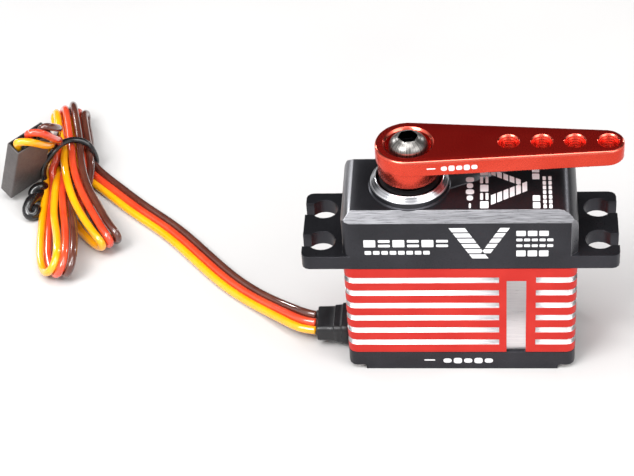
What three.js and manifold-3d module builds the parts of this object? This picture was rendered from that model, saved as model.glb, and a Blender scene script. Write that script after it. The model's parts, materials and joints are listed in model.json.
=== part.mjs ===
// Hobby servo motor with a three-wire lead, horn and plug.
// Millimetres, +Z up. The origin is the centre of the case's bottom face, +X runs along the case towards the end
// that the horn points to, and the lead leaves the -X end.
import * as THREE from "three";
import { mergeVertices } from "three/addons/utils/BufferGeometryUtils.js";
import Module from "manifold-3d";

const wasm = await Module();
wasm.setup();

// ---------- driving dimensions (mm) ----------
const CASE_L = 35.5; // case length, X
const CASE_D = 15.2; // case depth, Y
const CASE_R = 1.4; // vertical corner radius
const WALL = 1.1;
const COVER_TOP = 3.56; // seam between bottom cover and middle case
const LUG_Z0 = 21.08; // underside of the mounting lugs, seam to the middle case
const LUG_Z1 = 23.5; // top of the mounting lugs
const CASE_TOP = 31.47;
const SEAM = 0.06; // half of the gap left at each case seam, all of it below the lug plate at the upper one
const LUG_L = 48.1; // overall length over the lugs
const LUG_R = 1.15;
const LUG_HOLE_X = 21.1;
const LUG_HOLE_Y = 3.75;
const LUG_HOLE_R = 2.17;
const LUG_SLOT_W = 2.65;
const EDGE_CUT = 1.45; // diamond-cut chamfer on the top edges
const TOP_END_R = 3.0; // rounded top edge at the +X end

const AX = -7.5; // output axis, X (Y is 0)
const BOSS_R = 5.95;
const BOSS_TOP = 33.2;
const BEARING_UP = { od: 10, id: 6, z0: 30.45, z1: 32.95 };
const BEARING_LO = { od: 8, id: 5, z0: 17.85, z1: 19.6 };

const HORN_Z0 = 34.17; // underside of the horn's hub
const HORN_ARM_Z0 = 36.75;
const HORN_TOP = 39.5;
const HORN_HUB_R = 4.7;
const HORN_END_R = 5.0;
const HORN_TIP_R = 2.75;
const HORN_REACH = 29.2; // axis to the centre of the rounded tip
const HORN_HOLES = [14.9, 19.8, 24.7, 29.6];
const HORN_HOLE_R = 1.35;

const SCREW_X = 15.95; // case screw axes
const SCREW_Y = 5.9;
const SCREW_R = 0.8;
const POST_R = 1.75;

const DECK_Z0 = 17.2; // gear plate, part of the middle case
const DECK_Z1 = 19.6;
const ROOF_Z = 30.0; // inside of the top case

// gear train: motor pinion -> gear 1 -> gear 2 -> gear 3 -> output gear
const TEETH = { pinion: 9, g1b: 49, g1s: 10, g2b: 36, g2s: 10, g3b: 30, g3s: 10, out: 30 };
const C_OUT = 8.0; // output axis to idler pin 1
const C_MID = 5.8; // idler pin 1 to idler pin 2
const M_FIRST = 0.2;
const M_FINAL = (2 * C_OUT) / (TEETH.g3s + TEETH.out);
const M_2 = (2 * C_MID) / (TEETH.g1s + TEETH.g2b);
const M_3 = (2 * C_MID) / (TEETH.g2s + TEETH.g3b);
const C_FIRST = (M_FIRST * (TEETH.pinion + TEETH.g1b)) / 2;
const P1 = [AX + C_OUT, 0];
const MOTOR = [P1[0] + C_FIRST, 0];
const P2Y = -1.8;
const P2 = [P1[0] + Math.sqrt(C_MID * C_MID - P2Y * P2Y), P2Y];
const PIN_R = 0.6;

const MOTOR_R = 6.0;

const WIRE_D = 1.3;
const FLOOR = 0;

// ---------- colours ----------
const BLACK_ANODISED = { color: 0x17181b, roughness: 0.5, metalness: 0.75 };
const RED_ANODISED = { color: 0xc2202b, roughness: 0.38, metalness: 0.85 };
const STEEL = { color: 0x9a9da1, roughness: 0.3, metalness: 1.0 };
const DARK_STEEL = { color: 0x55585c, roughness: 0.35, metalness: 1.0 };
const BRASS = { color: 0xc9a24a, roughness: 0.35, metalness: 1.0 };
const COPPER = { color: 0xb5622f, roughness: 0.4, metalness: 1.0 };
const BLACK_RUBBER = { color: 0x17171a, roughness: 0.75, metalness: 0.0 };
const BLACK_PLASTIC = { color: 0x1c1c1f, roughness: 0.55, metalness: 0.0 };
const GREEN_BOARD = { color: 0x14542f, roughness: 0.5, metalness: 0.0 };

const group = new THREE.Group();

// ---------- helpers ----------
function solid(geometry) {
  const g = geometry.index ? geometry.toNonIndexed() : geometry.clone();
  const bare = new THREE.BufferGeometry().setAttribute("position", g.getAttribute("position"));
  const merged = mergeVertices(bare, 1e-4);
  return new wasm.Manifold(
    new wasm.Mesh({
      numProp: 3,
      vertProperties: merged.attributes.position.array,
      triVerts: new Uint32Array(merged.index.array),
    }),
  );
}
function geometryOf(manifold) {
  const m = manifold.getMesh();
  const n = m.numProp;
  const v = new Float32Array(m.numVert * 3);
  for (let i = 0; i < m.numVert; i++) v.set(m.vertProperties.subarray(i * n, i * n + 3), i * 3);
  return new THREE.BufferGeometry()
    .setAttribute("position", new THREE.BufferAttribute(v, 3))
    .setIndex(new THREE.BufferAttribute(new Uint32Array(m.triVerts), 1));
}
function add(name, shape, finish, parent = group) {
  const geometry = shape.isBufferGeometry ? shape : geometryOf(shape);
  const mesh = new THREE.Mesh(geometry, new THREE.MeshStandardMaterial(finish));
  mesh.name = name;
  parent.add(mesh);
  return mesh;
}
function boxGeo(x0, x1, y0, y1, z0, z1) {
  return new THREE.BoxGeometry(x1 - x0, y1 - y0, z1 - z0).translate((x0 + x1) / 2, (y0 + y1) / 2, (z0 + z1) / 2);
}
const box = (...a) => solid(boxGeo(...a));
// closed profile [[r, z], ...] turned about a vertical axis at (x, y); given counter-clockwise in (r, z)
function turned(profile, x = 0, y = 0, seg = 32) {
  const pts = profile.map(([r, z]) => new THREE.Vector2(r, z));
  if (profile[0][0] > 1e-6) pts.push(pts[0].clone());
  const g = new THREE.LatheGeometry(pts, seg);
  return g.rotateX(Math.PI / 2).scale(1, 1, 1).translate(x, y, 0);
}
const rod = (x, y, z0, z1, r, seg = 24) => turned([[0, z0], [r, z0], [r, z1], [0, z1]], x, y, seg);
const tubeZ = (x, y, z0, z1, r0, r1, seg = 32) => turned([[r0, z0], [r1, z0], [r1, z1], [r0, z1]], x, y, seg);
function prism(points, z0, z1, holes = []) {
  const shape = new THREE.Shape(points.map(([x, y]) => new THREE.Vector2(x, y)));
  for (const h of holes) shape.holes.push(new THREE.Path(h.map(([x, y]) => new THREE.Vector2(x, y))));
  return new THREE.ExtrudeGeometry(shape, { depth: z1 - z0, bevelEnabled: false, steps: 1 }).translate(0, 0, z0);
}
function circlePoints(x, y, r, seg, phase = 0) {
  return Array.from({ length: seg }, (_, i) => {
    const a = phase + (i * 2 * Math.PI) / seg;
    return [x + r * Math.cos(a), y + r * Math.sin(a)];
  });
}
// rectangle with one radius (or chamfer, seg = 1) for each corner: [+x+y, -x+y, -x-y, +x-y]
function roundRect(x0, x1, y0, y1, radii, seg = 5) {
  const rs = Array.isArray(radii) ? radii : [radii, radii, radii, radii];
  const segs = Array.isArray(seg) ? seg : [seg, seg, seg, seg];
  const corners = [[x1, y1, 1, 1, 0], [x0, y1, -1, 1, 90], [x0, y0, -1, -1, 180], [x1, y0, 1, -1, 270]];
  const pts = [];
  corners.forEach(([cx, cy, sx, sy, a0], i) => {
    const r = rs[i];
    if (r < 1e-6) {
      pts.push([cx, cy]);
      return;
    }
    for (let k = 0; k <= segs[i]; k++) {
      const a = ((a0 + (90 * k) / segs[i]) * Math.PI) / 180;
      pts.push([cx - sx * r + r * Math.cos(a), cy - sy * r + r * Math.sin(a)]);
    }
  });
  return pts;
}
// extrude a section drawn in (x, z) along Y, or in (y, z) along X
function alongY(points, y0, y1) {
  return prism(points, -y1, -y0).rotateX(Math.PI / 2);
}
function alongX(points, x0, x1) {
  return prism(points, x0, x1).applyMatrix4(
    new THREE.Matrix4().makeBasis(new THREE.Vector3(0, 1, 0), new THREE.Vector3(0, 0, 1), new THREE.Vector3(1, 0, 0)),
  );
}
// tube of a round section along a smooth open curve
function tubeAlong(points, radius, sides, steps) {
  const curve = new THREE.CatmullRomCurve3(points.map((p) => new THREE.Vector3(...p)), false, "centripetal");
  const section = new THREE.Shape(circlePoints(0, 0, radius, sides, Math.PI / sides).map(([x, y]) => new THREE.Vector2(x, y)));
  return new THREE.ExtrudeGeometry(section, { steps, bevelEnabled: false, extrudePath: curve });
}

// ---------- gear teeth ----------
const ALPHA = (20 * Math.PI) / 180;
const inv = (a) => Math.tan(a) - a;
function gearPoints(z, m, x, backlash, steps, phase, cx, cy) {
  const r = (m * z) / 2;
  const rb = r * Math.cos(ALPHA);
  const ra = r + m * (1 + x) - 0.08 * m;
  const rf = r - m * (1.25 - x) - 0.03 * m;
  const s = m * (Math.PI / 2 + 2 * x * Math.tan(ALPHA)) - backlash;
  const half = (rho) => s / (2 * r) + inv(ALPHA) - inv(Math.acos(Math.min(1, rb / Math.max(rho, rb))));
  const start = Math.max(rf, rb);
  const radii = rf < rb ? [rf] : [];
  for (let i = 0; i <= steps; i++) radii.push(start + ((ra - start) * i) / steps);
  const pts = [];
  for (let i = 0; i < z; i++) {
    const c = phase + (i * 2 * Math.PI) / z;
    for (const rho of radii) pts.push([rho, c - Math.max(half(rho), 0.02)]);
    for (const rho of [...radii].reverse()) pts.push([rho, c + Math.max(half(rho), 0.02)]);
  }
  return pts.map(([rho, a]) => [cx + rho * Math.cos(a), cy + rho * Math.sin(a)]);
}
// phase of gear b so that it meshes with gear a
function meshPhase(za, phaseA, posA, zb, posB) {
  const th = Math.atan2(posB[1] - posA[1], posB[0] - posA[0]);
  const ua = ((th - phaseA) * za) / (2 * Math.PI);
  const ub = 0.5 - ua; // teeth of b between its tooth centre and the line of centres
  return th + Math.PI - (ub * 2 * Math.PI) / zb;
}
const A = [AX, 0];
const SHIFT = 0.4;
const ph = {};
ph.out = 0;
ph.g3s = meshPhase(TEETH.out, ph.out, A, TEETH.g3s, P1);
ph.g3b = 0;
ph.g2s = meshPhase(TEETH.g3b, ph.g3b, P1, TEETH.g2s, P2);
ph.g2b = 0;
ph.g1s = meshPhase(TEETH.g2b, ph.g2b, P2, TEETH.g1s, P1);
ph.g1b = 0;
ph.pinion = meshPhase(TEETH.g1b, ph.g1b, P1, TEETH.pinion, MOTOR);
const wheel = (z, m, phase, c) => gearPoints(z, m, -SHIFT, 0.12 * m, 1, phase, c[0], c[1]);
const small = (z, m, phase, c) => gearPoints(z, m, SHIFT, 0.12 * m, 2, phase, c[0], c[1]);
const boreAt = (c, r, seg = 20) => circlePoints(c[0], c[1], r, seg).reverse();

// ---------- case screws' posts ----------
const corners = [[1, 1], [-1, 1], [-1, -1], [1, -1]];
const NAMES = ["right_rear", "left_rear", "left_front", "right_front"];
function hollow(z0, z1) {
  const hx = CASE_L / 2 - WALL;
  const hy = CASE_D / 2 - WALL + 0.15;
  let s = box(-hx, hx, -hy, hy, z0, z1);
  for (const [sx, sy] of corners) {
    s = s.subtract(solid(rod(sx * SCREW_X, sy * SCREW_Y, z0 - 1, z1 + 1, POST_R, 16)));
    s = s.subtract(
      box(Math.min(sx * SCREW_X, sx * 20), Math.max(sx * SCREW_X, sx * 20), Math.min(sy * (SCREW_Y - POST_R), sy * 10), Math.max(sy * (SCREW_Y - POST_R), sy * 10), z0 - 1, z1 + 1),
    );
    s = s.subtract(
      box(Math.min(sx * (SCREW_X - POST_R), sx * 20), Math.max(sx * (SCREW_X - POST_R), sx * 20), Math.min(sy * SCREW_Y, sy * 10), Math.max(sy * SCREW_Y, sy * 10), z0 - 1, z1 + 1),
    );
  }
  return s;
}
const HX = CASE_L / 2;
const HY = CASE_D / 2;

// ---------- top case with the mounting lugs ----------
{
  // plan: black rounded corners at the -X end, cut corners at the +X end
  const plan = solid(prism(roundRect(-HX, HX, -HY, HY, [1.1, 1.3, 1.3, 1.1], [1, 3, 3, 1]), LUG_Z0, CASE_TOP));
  // side view: chamfer at -X, round at +X
  const side = [[-HX - 1, 20], [HX, 20]];
  for (let k = 0; k <= 6; k++) {
    const a = (k * 15 * Math.PI) / 180;
    side.push([HX - TOP_END_R + TOP_END_R * Math.cos(a), CASE_TOP - TOP_END_R + TOP_END_R * Math.sin(a)]);
  }
  side.push([-HX + EDGE_CUT, CASE_TOP], [-HX, CASE_TOP - EDGE_CUT], [-HX - 1, CASE_TOP - EDGE_CUT - 1]);
  const sideCut = solid(alongY(side, -10, 10));
  const endView = [[-HY, 20], [HY, 20], [HY, CASE_TOP - EDGE_CUT], [HY - EDGE_CUT, CASE_TOP], [-HY + EDGE_CUT, CASE_TOP], [-HY, CASE_TOP - EDGE_CUT]];
  const endCut = solid(alongX(endView, -30, 30));
  let s = plan.intersect(sideCut).intersect(endCut);
  s = s.add(solid(prism(roundRect(-LUG_L / 2, LUG_L / 2, -HY, HY, LUG_R, 3), LUG_Z0, LUG_Z1)));
  // boss round the output bearing
  s = s.add(solid(turned([[0, 31], [BOSS_R, 31], [BOSS_R, 32.4], [5.15, BOSS_TOP], [0, BOSS_TOP]], AX, 0, 40)));
  s = s.subtract(hollow(LUG_Z0 - 1, ROOF_Z));
  s = s.subtract(solid(rod(AX, 0, 30.4, 34, BEARING_UP.od / 2 + 0.05, 40)));
  s = s.subtract(solid(rod(AX, 0, 29.5, 31, 4.3, 32)));
  for (const [px, py] of [P1, P2]) s = s.subtract(solid(rod(px, py, 29, 30.9, PIN_R + 0.05, 16)));
  for (const [sx, sy] of corners) {
    s = s.subtract(solid(rod(sx * SCREW_X, sy * SCREW_Y, 20, 26.6, SCREW_R + 0.06, 12)));
    // keyhole slots in the lugs
    s = s.subtract(solid(rod(sx * LUG_HOLE_X, sy * LUG_HOLE_Y, 20, 25, LUG_HOLE_R, 22)));
    s = s.subtract(
      box(sx > 0 ? LUG_HOLE_X : -26, sx > 0 ? 26 : -LUG_HOLE_X, sy * LUG_HOLE_Y - LUG_SLOT_W / 2, sy * LUG_HOLE_Y + LUG_SLOT_W / 2, 20, 25),
    );
  }
  add("top_case", s, BLACK_ANODISED);
}

// ---------- middle case: cooling grooves, gear plate, motor and potentiometer seats ----------
{
  const z0 = COVER_TOP + SEAM;
  const z1 = LUG_Z0 - 2 * SEAM;
  let s = solid(prism(roundRect(-HX, HX, -HY, HY, CASE_R, 3), z0, z1));
  // grooves: each wraps from a front stretch round the end
  const gd = 0.35;
  const inner = roundRect(-HX + gd, HX - gd, -HY + gd, HY - gd, CASE_R - gd, 3);
  const outer = roundRect(-HX - 1, HX + 1, -HY - 1, HY + 1, 0.5, 1);
  for (let k = 0; k < 6; k++) {
    const c = 5.75 + 2.59 * k;
    const ring = solid(prism(outer, c - 0.53, c + 0.53, [[...inner].reverse()])).subtract(box(5.9, 11.5, -10, 10, c - 1, c + 1));
    s = s.subtract(ring);
  }
  // upright pocket on each long face
  for (const sy of [-1, 1]) s = s.subtract(box(7.05, 10.02, sy > 0 ? HY - 0.55 : -HY - 1, sy > 0 ? HY + 1 : -HY + 0.55, 3, 18.51));
  s = s.subtract(hollow(z0 - 1, DECK_Z0));
  s = s.subtract(hollow(DECK_Z1, z1 + 1));
  s = s.subtract(solid(rod(AX, 0, BEARING_LO.z0 - 0.05, 20, BEARING_LO.od / 2 + 0.05, 36)));
  s = s.subtract(solid(rod(AX, 0, 17, 18.5, 3.2, 28)));
  s = s.subtract(solid(rod(MOTOR[0], MOTOR[1], 17, 20, 2.15, 24)));
  for (const sy of [-1, 1]) {
    s = s.subtract(solid(rod(MOTOR[0] + 2.2, sy * 4.0, 17, 20, 0.75, 14)));
    s = s.subtract(solid(rod(MOTOR[0] + 2.2, sy * 4.0, 18.6, 20, 1.35, 18)));
  }
  for (const [px, py] of [P1, P2]) s = s.subtract(solid(rod(px, py, 17.9, 20, PIN_R + 0.05, 16)));
  for (const [sx, sy] of corners) s = s.subtract(solid(rod(sx * SCREW_X, sy * SCREW_Y, 3, 22, SCREW_R + 0.12, 12)));
  // notch over the grommet
  s = s.subtract(box(-20, -15, -2.8, 2.8, 3, 4.4));
  add("middle_case", s, RED_ANODISED);
}

// ---------- bottom cover ----------
{
  const z1 = COVER_TOP - SEAM;
  let s = solid(prism(roundRect(-HX, HX, -HY, HY, CASE_R, 3), 0, z1));
  s = s.subtract(hollow(1.2, z1 + 1));
  s = s.subtract(box(-20, -15, -2.8, 2.8, 1.0, 5));
  for (const [sx, sy] of corners) {
    s = s.subtract(solid(rod(sx * SCREW_X, sy * SCREW_Y, -1, 5, SCREW_R + 0.12, 12)));
    s = s.subtract(solid(rod(sx * SCREW_X, sy * SCREW_Y, -1, 1.25, 1.5, 18)));
    s = s.subtract(
      box(sx > 0 ? SCREW_X - 0.9 : -20, sx > 0 ? 20 : -SCREW_X + 0.9, sy > 0 ? SCREW_Y - 0.9 : -10, sy > 0 ? 10 : -SCREW_Y + 0.9, -1, 0.8),
    );
  }
  add("bottom_cover", s, BLACK_ANODISED);
}

// ---------- case screws ----------
corners.forEach(([sx, sy], i) => {
  const head = solid(turned([[0, 0.08], [1.15, 0.08], [1.38, 0.3], [1.38, 1.18], [0, 1.18]], sx * SCREW_X, sy * SCREW_Y, 18));
  const shank = solid(rod(sx * SCREW_X, sy * SCREW_Y, 1, 26.3, SCREW_R, 12));
  const hex = solid(prism(circlePoints(sx * SCREW_X, sy * SCREW_Y, 0.75, 6), -0.5, 0.8));
  add("case_screw_" + NAMES[i], head.add(shank).subtract(hex), STEEL);
});

// ---------- output stage ----------
add("bearing_upper", tubeZ(AX, 0, BEARING_UP.z0, BEARING_UP.z1, BEARING_UP.id / 2, BEARING_UP.od / 2, 36), DARK_STEEL);
add("bearing_lower", tubeZ(AX, 0, BEARING_LO.z0, BEARING_LO.z1, BEARING_LO.id / 2, BEARING_LO.od / 2, 32), DARK_STEEL);
{
  let s = solid(
    turned([[0, 17.95], [2.45, 17.95], [2.45, 20.0], [2.2, 20.2], [2.2, 25.6], [3.7, 25.8], [3.7, 29.5], [2.95, 29.8], [2.95, 33.4], [2.6, 33.6], [2.6, 36.9], [0, 36.9]], AX, 0, 32),
  );
  s = s.add(solid(prism(wheel(TEETH.out, M_FINAL, ph.out, A), 26.0, 29.2)));
  const spline = [];
  for (let i = 0; i < 25; i++) {
    const a = (i * 2 * Math.PI) / 25;
    spline.push([AX + 2.9 * Math.cos(a - 0.04), 2.9 * Math.sin(a - 0.04)], [AX + 2.9 * Math.cos(a + 0.04), 2.9 * Math.sin(a + 0.04)], [AX + 2.64 * Math.cos(a + 0.126), 2.64 * Math.sin(a + 0.126)]);
  }
  s = s.add(solid(prism(spline, 33.8, 36.9)));
  s = s.subtract(solid(rod(AX, 0, 30.5, 38, 1.55, 18)));
  s = s.subtract(solid(rod(AX, 0, 17, 19.6, 1.56, 20)));
  add("output_shaft_gear", s, STEEL);
}

// ---------- idler gears and their pins ----------
function compound(name, c, big, zb0, zb1, little, zs0, zs1) {
  const s = solid(prism(big, zb0, zb1, [boreAt(c, PIN_R + 0.06)])).add(solid(prism(little, zs0, zs1, [boreAt(c, PIN_R + 0.06)])));
  add(name, s, STEEL);
}
add("idler_pin_1", rod(P1[0], P1[1], 18.0, 30.8, PIN_R, 16), DARK_STEEL);
add("idler_pin_2", rod(P2[0], P2[1], 18.0, 30.8, PIN_R, 16), DARK_STEEL);
{
  const c = P1;
  let s = solid(prism(wheel(TEETH.g1b, M_FIRST, ph.g1b, c), 20.3, 21.5)).add(solid(prism(small(TEETH.g1s, M_2, ph.g1s, c), 21.3, 23.6)));
  s = s.subtract(solid(rod(c[0], c[1], 19, 25, PIN_R + 0.06, 16)));
  add("gear_1", s, BRASS);
}
{
  const c = P2;
  let s = solid(prism(wheel(TEETH.g2b, M_2, ph.g2b, c), 22.1, 23.4)).add(solid(prism(small(TEETH.g2s, M_3, ph.g2s, c), 23.2, 25.6)));
  s = s.subtract(solid(rod(c[0], c[1], 21, 27, PIN_R + 0.06, 16)));
  add("gear_2", s, STEEL);
}
{
  const c = P1;
  let s = solid(prism(wheel(TEETH.g3b, M_3, ph.g3b, c), 23.9, 25.4)).add(solid(prism(small(TEETH.g3s, M_FINAL, ph.g3s, c), 25.2, 29.4)));
  s = s.subtract(solid(rod(c[0], c[1], 23, 31, PIN_R + 0.06, 16)));
  add("gear_3", s, STEEL);
}

// ---------- motor ----------
const [MX, MY] = MOTOR;
add(
  "motor_can",
  turned([[1.27, 16.1], [5.65, 16.1], [5.65, 6.4], [MOTOR_R, 6.4], [MOTOR_R, 16.9], [2.0, 16.9], [2.0, 17.9], [1.27, 17.9]], MX, MY, 26),
  STEEL,
);
add("motor_front_bushing", tubeZ(MX, MY, 16.2, 18.1, 0.55, 1.2, 16), BRASS);
add("motor_magnet", tubeZ(MX, MY, 8.3, 15.8, 0.85, 4.5, 22), DARK_STEEL);
add("motor_winding", turned([[0.53, 6.95], [5.25, 6.95], [5.25, 15.4], [4.85, 15.4], [4.85, 7.9], [0.53, 7.9]], MX, MY, 24), COPPER);
add("motor_commutator", tubeZ(MX, MY, 6.35, 6.9, 0.53, 1.3, 16), COPPER);
add("motor_shaft", rod(MX, MY, 5.5, 21.9, 0.5, 14), STEEL);
add("motor_end_cap", tubeZ(MX, MY, 5.2, 6.1, 1.25, 5.95, 26), BLACK_PLASTIC);
add("motor_rear_bushing", tubeZ(MX, MY, 5.25, 6.05, 0.55, 1.2, 16), BRASS);
{
  const s = solid(prism(small(TEETH.pinion, M_FIRST, ph.pinion, MOTOR), 20.15, 21.8)).subtract(solid(rod(MX, MY, 20, 22, 0.53, 14)));
  add("motor_pinion", s, BRASS);
}
[1, -1].forEach((sy, i) => {
  const x = MX + 2.2;
  const head = solid(rod(x, sy * 4.0, 18.65, 19.5, 1.25, 16));
  const shank = solid(rod(x, sy * 4.0, 16.98, 18.8, 0.68, 12));
  add("motor_screw_" + (i ? "front" : "rear"), head.add(shank).subtract(box(x - 1.0, x + 1.0, sy * 4.0 - 0.17, sy * 4.0 + 0.17, 19.1, 20)), STEEL);
  add("motor_terminal_" + (i ? "front" : "rear"), boxGeo(x - 0.8, x + 0.8, sy * 3.4 - 0.2, sy * 3.4 + 0.2, 3.6, 5.1), COPPER);
});

// ---------- position sensor ----------
add("potentiometer_body", turned([[1.7, 16.9], [1.7, 13.2], [3.2, 13.2], [3.2, 12.6], [4.8, 12.6], [4.8, 16.9]], AX, 0, 24), BLACK_PLASTIC);
{
  let s = solid(turned([[0, 13.3], [1.4, 13.3], [1.4, 19.3], [0, 19.3]], AX, 0, 20));
  s = s.subtract(box(AX + 1.0, AX + 2, -2, 2, 17.5, 20));
  add("potentiometer_shaft", s, BRASS);
}
[-1, 0, 1].forEach((k) => {
  add("potentiometer_lead_" + (k + 2), boxGeo(AX + 2.2 * k - 0.3, AX + 2.2 * k + 0.3, -4.3, -4.0, 3.6, 12.4), COPPER);
});

// ---------- control board ----------
{
  const outline = [[-13.9, -5.9], [13.6, -5.9], [13.6, -3.8], [16.2, -3.8], [16.2, 3.8], [13.6, 3.8], [13.6, 5.9], [-13.9, 5.9]];
  add("circuit_board", prism(outline, 2.6, 3.4), GREEN_BOARD);
  add("controller_chip", boxGeo(-11.5, -6.5, -2.5, 2.5, 3.5, 4.4), BLACK_PLASTIC);
  add("driver_chip_1", boxGeo(-1.6, 2.4, -4.6, -0.6, 3.5, 4.5), BLACK_PLASTIC);
  add("driver_chip_2", boxGeo(-1.6, 2.4, 0.6, 4.6, 3.5, 4.5), BLACK_PLASTIC);
  add("board_capacitor", rod(14.4, 0, 3.5, 10.5, 1.85, 20), DARK_STEEL);
}

// ---------- grommet where the lead leaves the case ----------
const GROMMET_Z = 2.7;
{
  const sect = (hy, hz, r) => roundRect(-hy, hy, GROMMET_Z - hz, GROMMET_Z + hz, r, 3);
  let s = solid(alongX(sect(3.3, 1.95, 0.9), -19.1, -17.9));
  s = s.add(solid(alongX(sect(2.9, 1.47, 0.8), -23.1, -19.0)));
  s = s.add(solid(alongX(sect(3.0, 1.6, 0.8), -20.3, -19.0)));
  s = s.add(solid(alongX(sect(2.5, 1.4, 0.6), -18.0, -16.0)));
  s = s.add(solid(alongX(sect(3.2, 1.42, 0.6), -16.4, -15.8)));
  add("grommet", s, BLACK_RUBBER);
}

// ---------- three-wire lead ----------
// centre line of the middle wire from the grommet along the surface to the hank
const LEAD = [
  [-23.4, 0.1, 2.7, 25],
  [-25.2, 0.6, 2.68, 24],
  [-27.0, 1.75, 2.45, 20],
  [-28.9, 3.5, 1.9, 13],
  [-30.9, 5.45, 1.2, 6],
  [-33.1, 7.3, 0.8, 2],
  [-35.4, 9.15, 0.69, 0],
  [-37.7, 11.2, 0.68, 0],
  [-40.0, 13.6, 0.68, 0],
  [-42.4, 16.4, 0.68, 0],
  [-44.8, 19.3, 0.68, 0],
  [-47.3, 22.3, 0.68, 0],
  [-49.8, 25.1, 0.68, 0],
  [-52.2, 27.4, 0.68, 0],
  [-54.7, 29.6, 0.68, 0],
  [-57.2, 31.9, 0.68, 0],
  [-59.7, 34.5, 0.68, 0],
  [-62.1, 37.0, 0.68, 0],
  [-64.3, 39.2, 0.68, 0],
  [-66.0, 41.0, 0.68, 0],
];
const PITCH = WIRE_D + 0.05;
function leadPoints(k) {
  return LEAD.map(([x, y, z, tilt], i) => {
    const a = LEAD[Math.max(0, i - 1)];
    const b = LEAD[Math.min(LEAD.length - 1, i + 1)];
    const d = new THREE.Vector2(b[0] - a[0], b[1] - a[1]).normalize();
    const t = (tilt * Math.PI) / 180;
    return [x + k * PITCH * d.y * Math.cos(t), y - k * PITCH * d.x * Math.cos(t), z + k * PITCH * Math.sin(t)];
  });
}
const WIRES = [["wire_ground", 1, 0x4a2416], ["wire_power", 0, 0xd8261c], ["wire_signal", -1, 0xf2a900]];
for (const [name, k, color] of WIRES) {
  const pts = leadPoints(k).map(([x, y, z], i) => (i === 0 ? [-23.4, y, z] : [x, y, z]));
  add(name, tubeAlong(pts, WIRE_D / 2, 8, 26), { color, roughness: 0.4, metalness: 0 });
  // the same wire inside the case, from the grommet to the board
  add(
    name + "_inner",
    tubeAlong([[-15.5, 1.5 * k, 2.95], [-14.9, 1.5 * k, 3.3], [-14.2, 1.5 * k, 3.9], [-13.2, 1.5 * k, 4.15]], 0.5, 8, 4),
    { color, roughness: 0.4, metalness: 0 },
  );
}

// hank: the folded part of the lead, lofted along Y through [y, centre x, half width, z low, z high]
{
  const rings = [
    [11.5, -67.2, 1.8, 1.2, 4.2],
    [12.6, -67.4, 3.0, 0.3, 5.0],
    [14.5, -67.9, 3.9, 0.05, 5.4],
    [16.8, -68.0, 4.5, 0.05, 5.4],
    [18.3, -65.4, 7.3, 0.05, 5.3],
    [20.5, -65.2, 7.8, 0.05, 5.3],
    [22.8, -65.5, 7.7, 0.05, 5.3],
    [26.0, -67.3, 6.2, 0.05, 5.3],
    [30.0, -68.6, 5.4, 0.05, 5.3],
    [33.5, -69.4, 4.5, 0.3, 5.3],
    [36.0, -69.7, 3.3, 1.15, 5.5],
    [38.5, -69.7, 3.1, 1.2, 5.6],
    [41.5, -69.6, 3.1, 1.2, 5.5],
    [44.5, -69.7, 3.0, 1.2, 5.2],
    [46.5, -70.0, 3.6, 0.8, 5.3],
    [48.5, -70.4, 3.8, 0.1, 5.5],
    [52.0, -71.2, 3.7, 0.05, 5.6],
    [55.0, -72.0, 3.4, 0.05, 5.6],
    [57.0, -72.3, 2.8, 0.4, 5.4],
    [58.5, -72.4, 1.3, 1.6, 4.4],
  ];
  const sides = 14;
  const g = new THREE.CylinderGeometry(1, 1, 1, sides, rings.length - 1);
  const p = g.attributes.position;
  for (let i = 0; i < p.count; i++) {
    const row = Math.round((0.5 - p.getY(i)) * (rings.length - 1));
    const [y, cx, hw, z0, z1] = rings[rings.length - 1 - row];
    p.setXYZ(i, cx + hw * p.getX(i), y, (z0 + z1) / 2 + ((z1 - z0) / 2) * p.getZ(i));
  }
  let s = solid(g);

  add("lead_hank", s, { color: 0xd8261c, roughness: 0.4, metalness: 0 });
}

// tie round the middle of the hank, with its twisted ends
{
  const ring = [
    [-73.54, 37.39, 1.0], [-73.9, 37.2, 3.0], [-73.7, 36.9, 4.8], [-73.15, 37.0, 6.4], [-72.33, 37.27, 7.6], [-71.63, 38.28, 8.2],
    [-70.86, 40.3, 8.0], [-69.9, 42.3, 7.3], [-68.9, 43.6, 6.5], [-67.68, 43.98, 5.9], [-66.68, 44.0, 5.0], [-66.0, 43.75, 3.8],
    [-65.77, 43.83, 2.3], [-65.75, 43.9, 1.1], [-66.8, 43.2, 0.55], [-69.0, 41.8, 0.52], [-71.3, 39.9, 0.52], [-73.0, 38.1, 0.6],
  ];
  const curve = new THREE.CatmullRomCurve3(ring.map((q) => new THREE.Vector3(...q)), true, "centripetal");
  const section = new THREE.Shape(circlePoints(0, 0, 0.5, 7).map(([x, y]) => new THREE.Vector2(x, y)));
  const hoop = new THREE.ExtrudeGeometry(section, { steps: 32, bevelEnabled: false, extrudePath: curve });
  const twist = tubeAlong([[-73.4, 37.7, 1.05], [-73.9, 36.0, 1.05], [-74.4, 33.8, 1.05], [-74.75, 31.6, 1.05], [-75.0, 29.6, 1.05]], 1.0, 8, 8);
  add("lead_tie", solid(hoop).add(solid(twist)), BLACK_PLASTIC);
}

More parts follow.
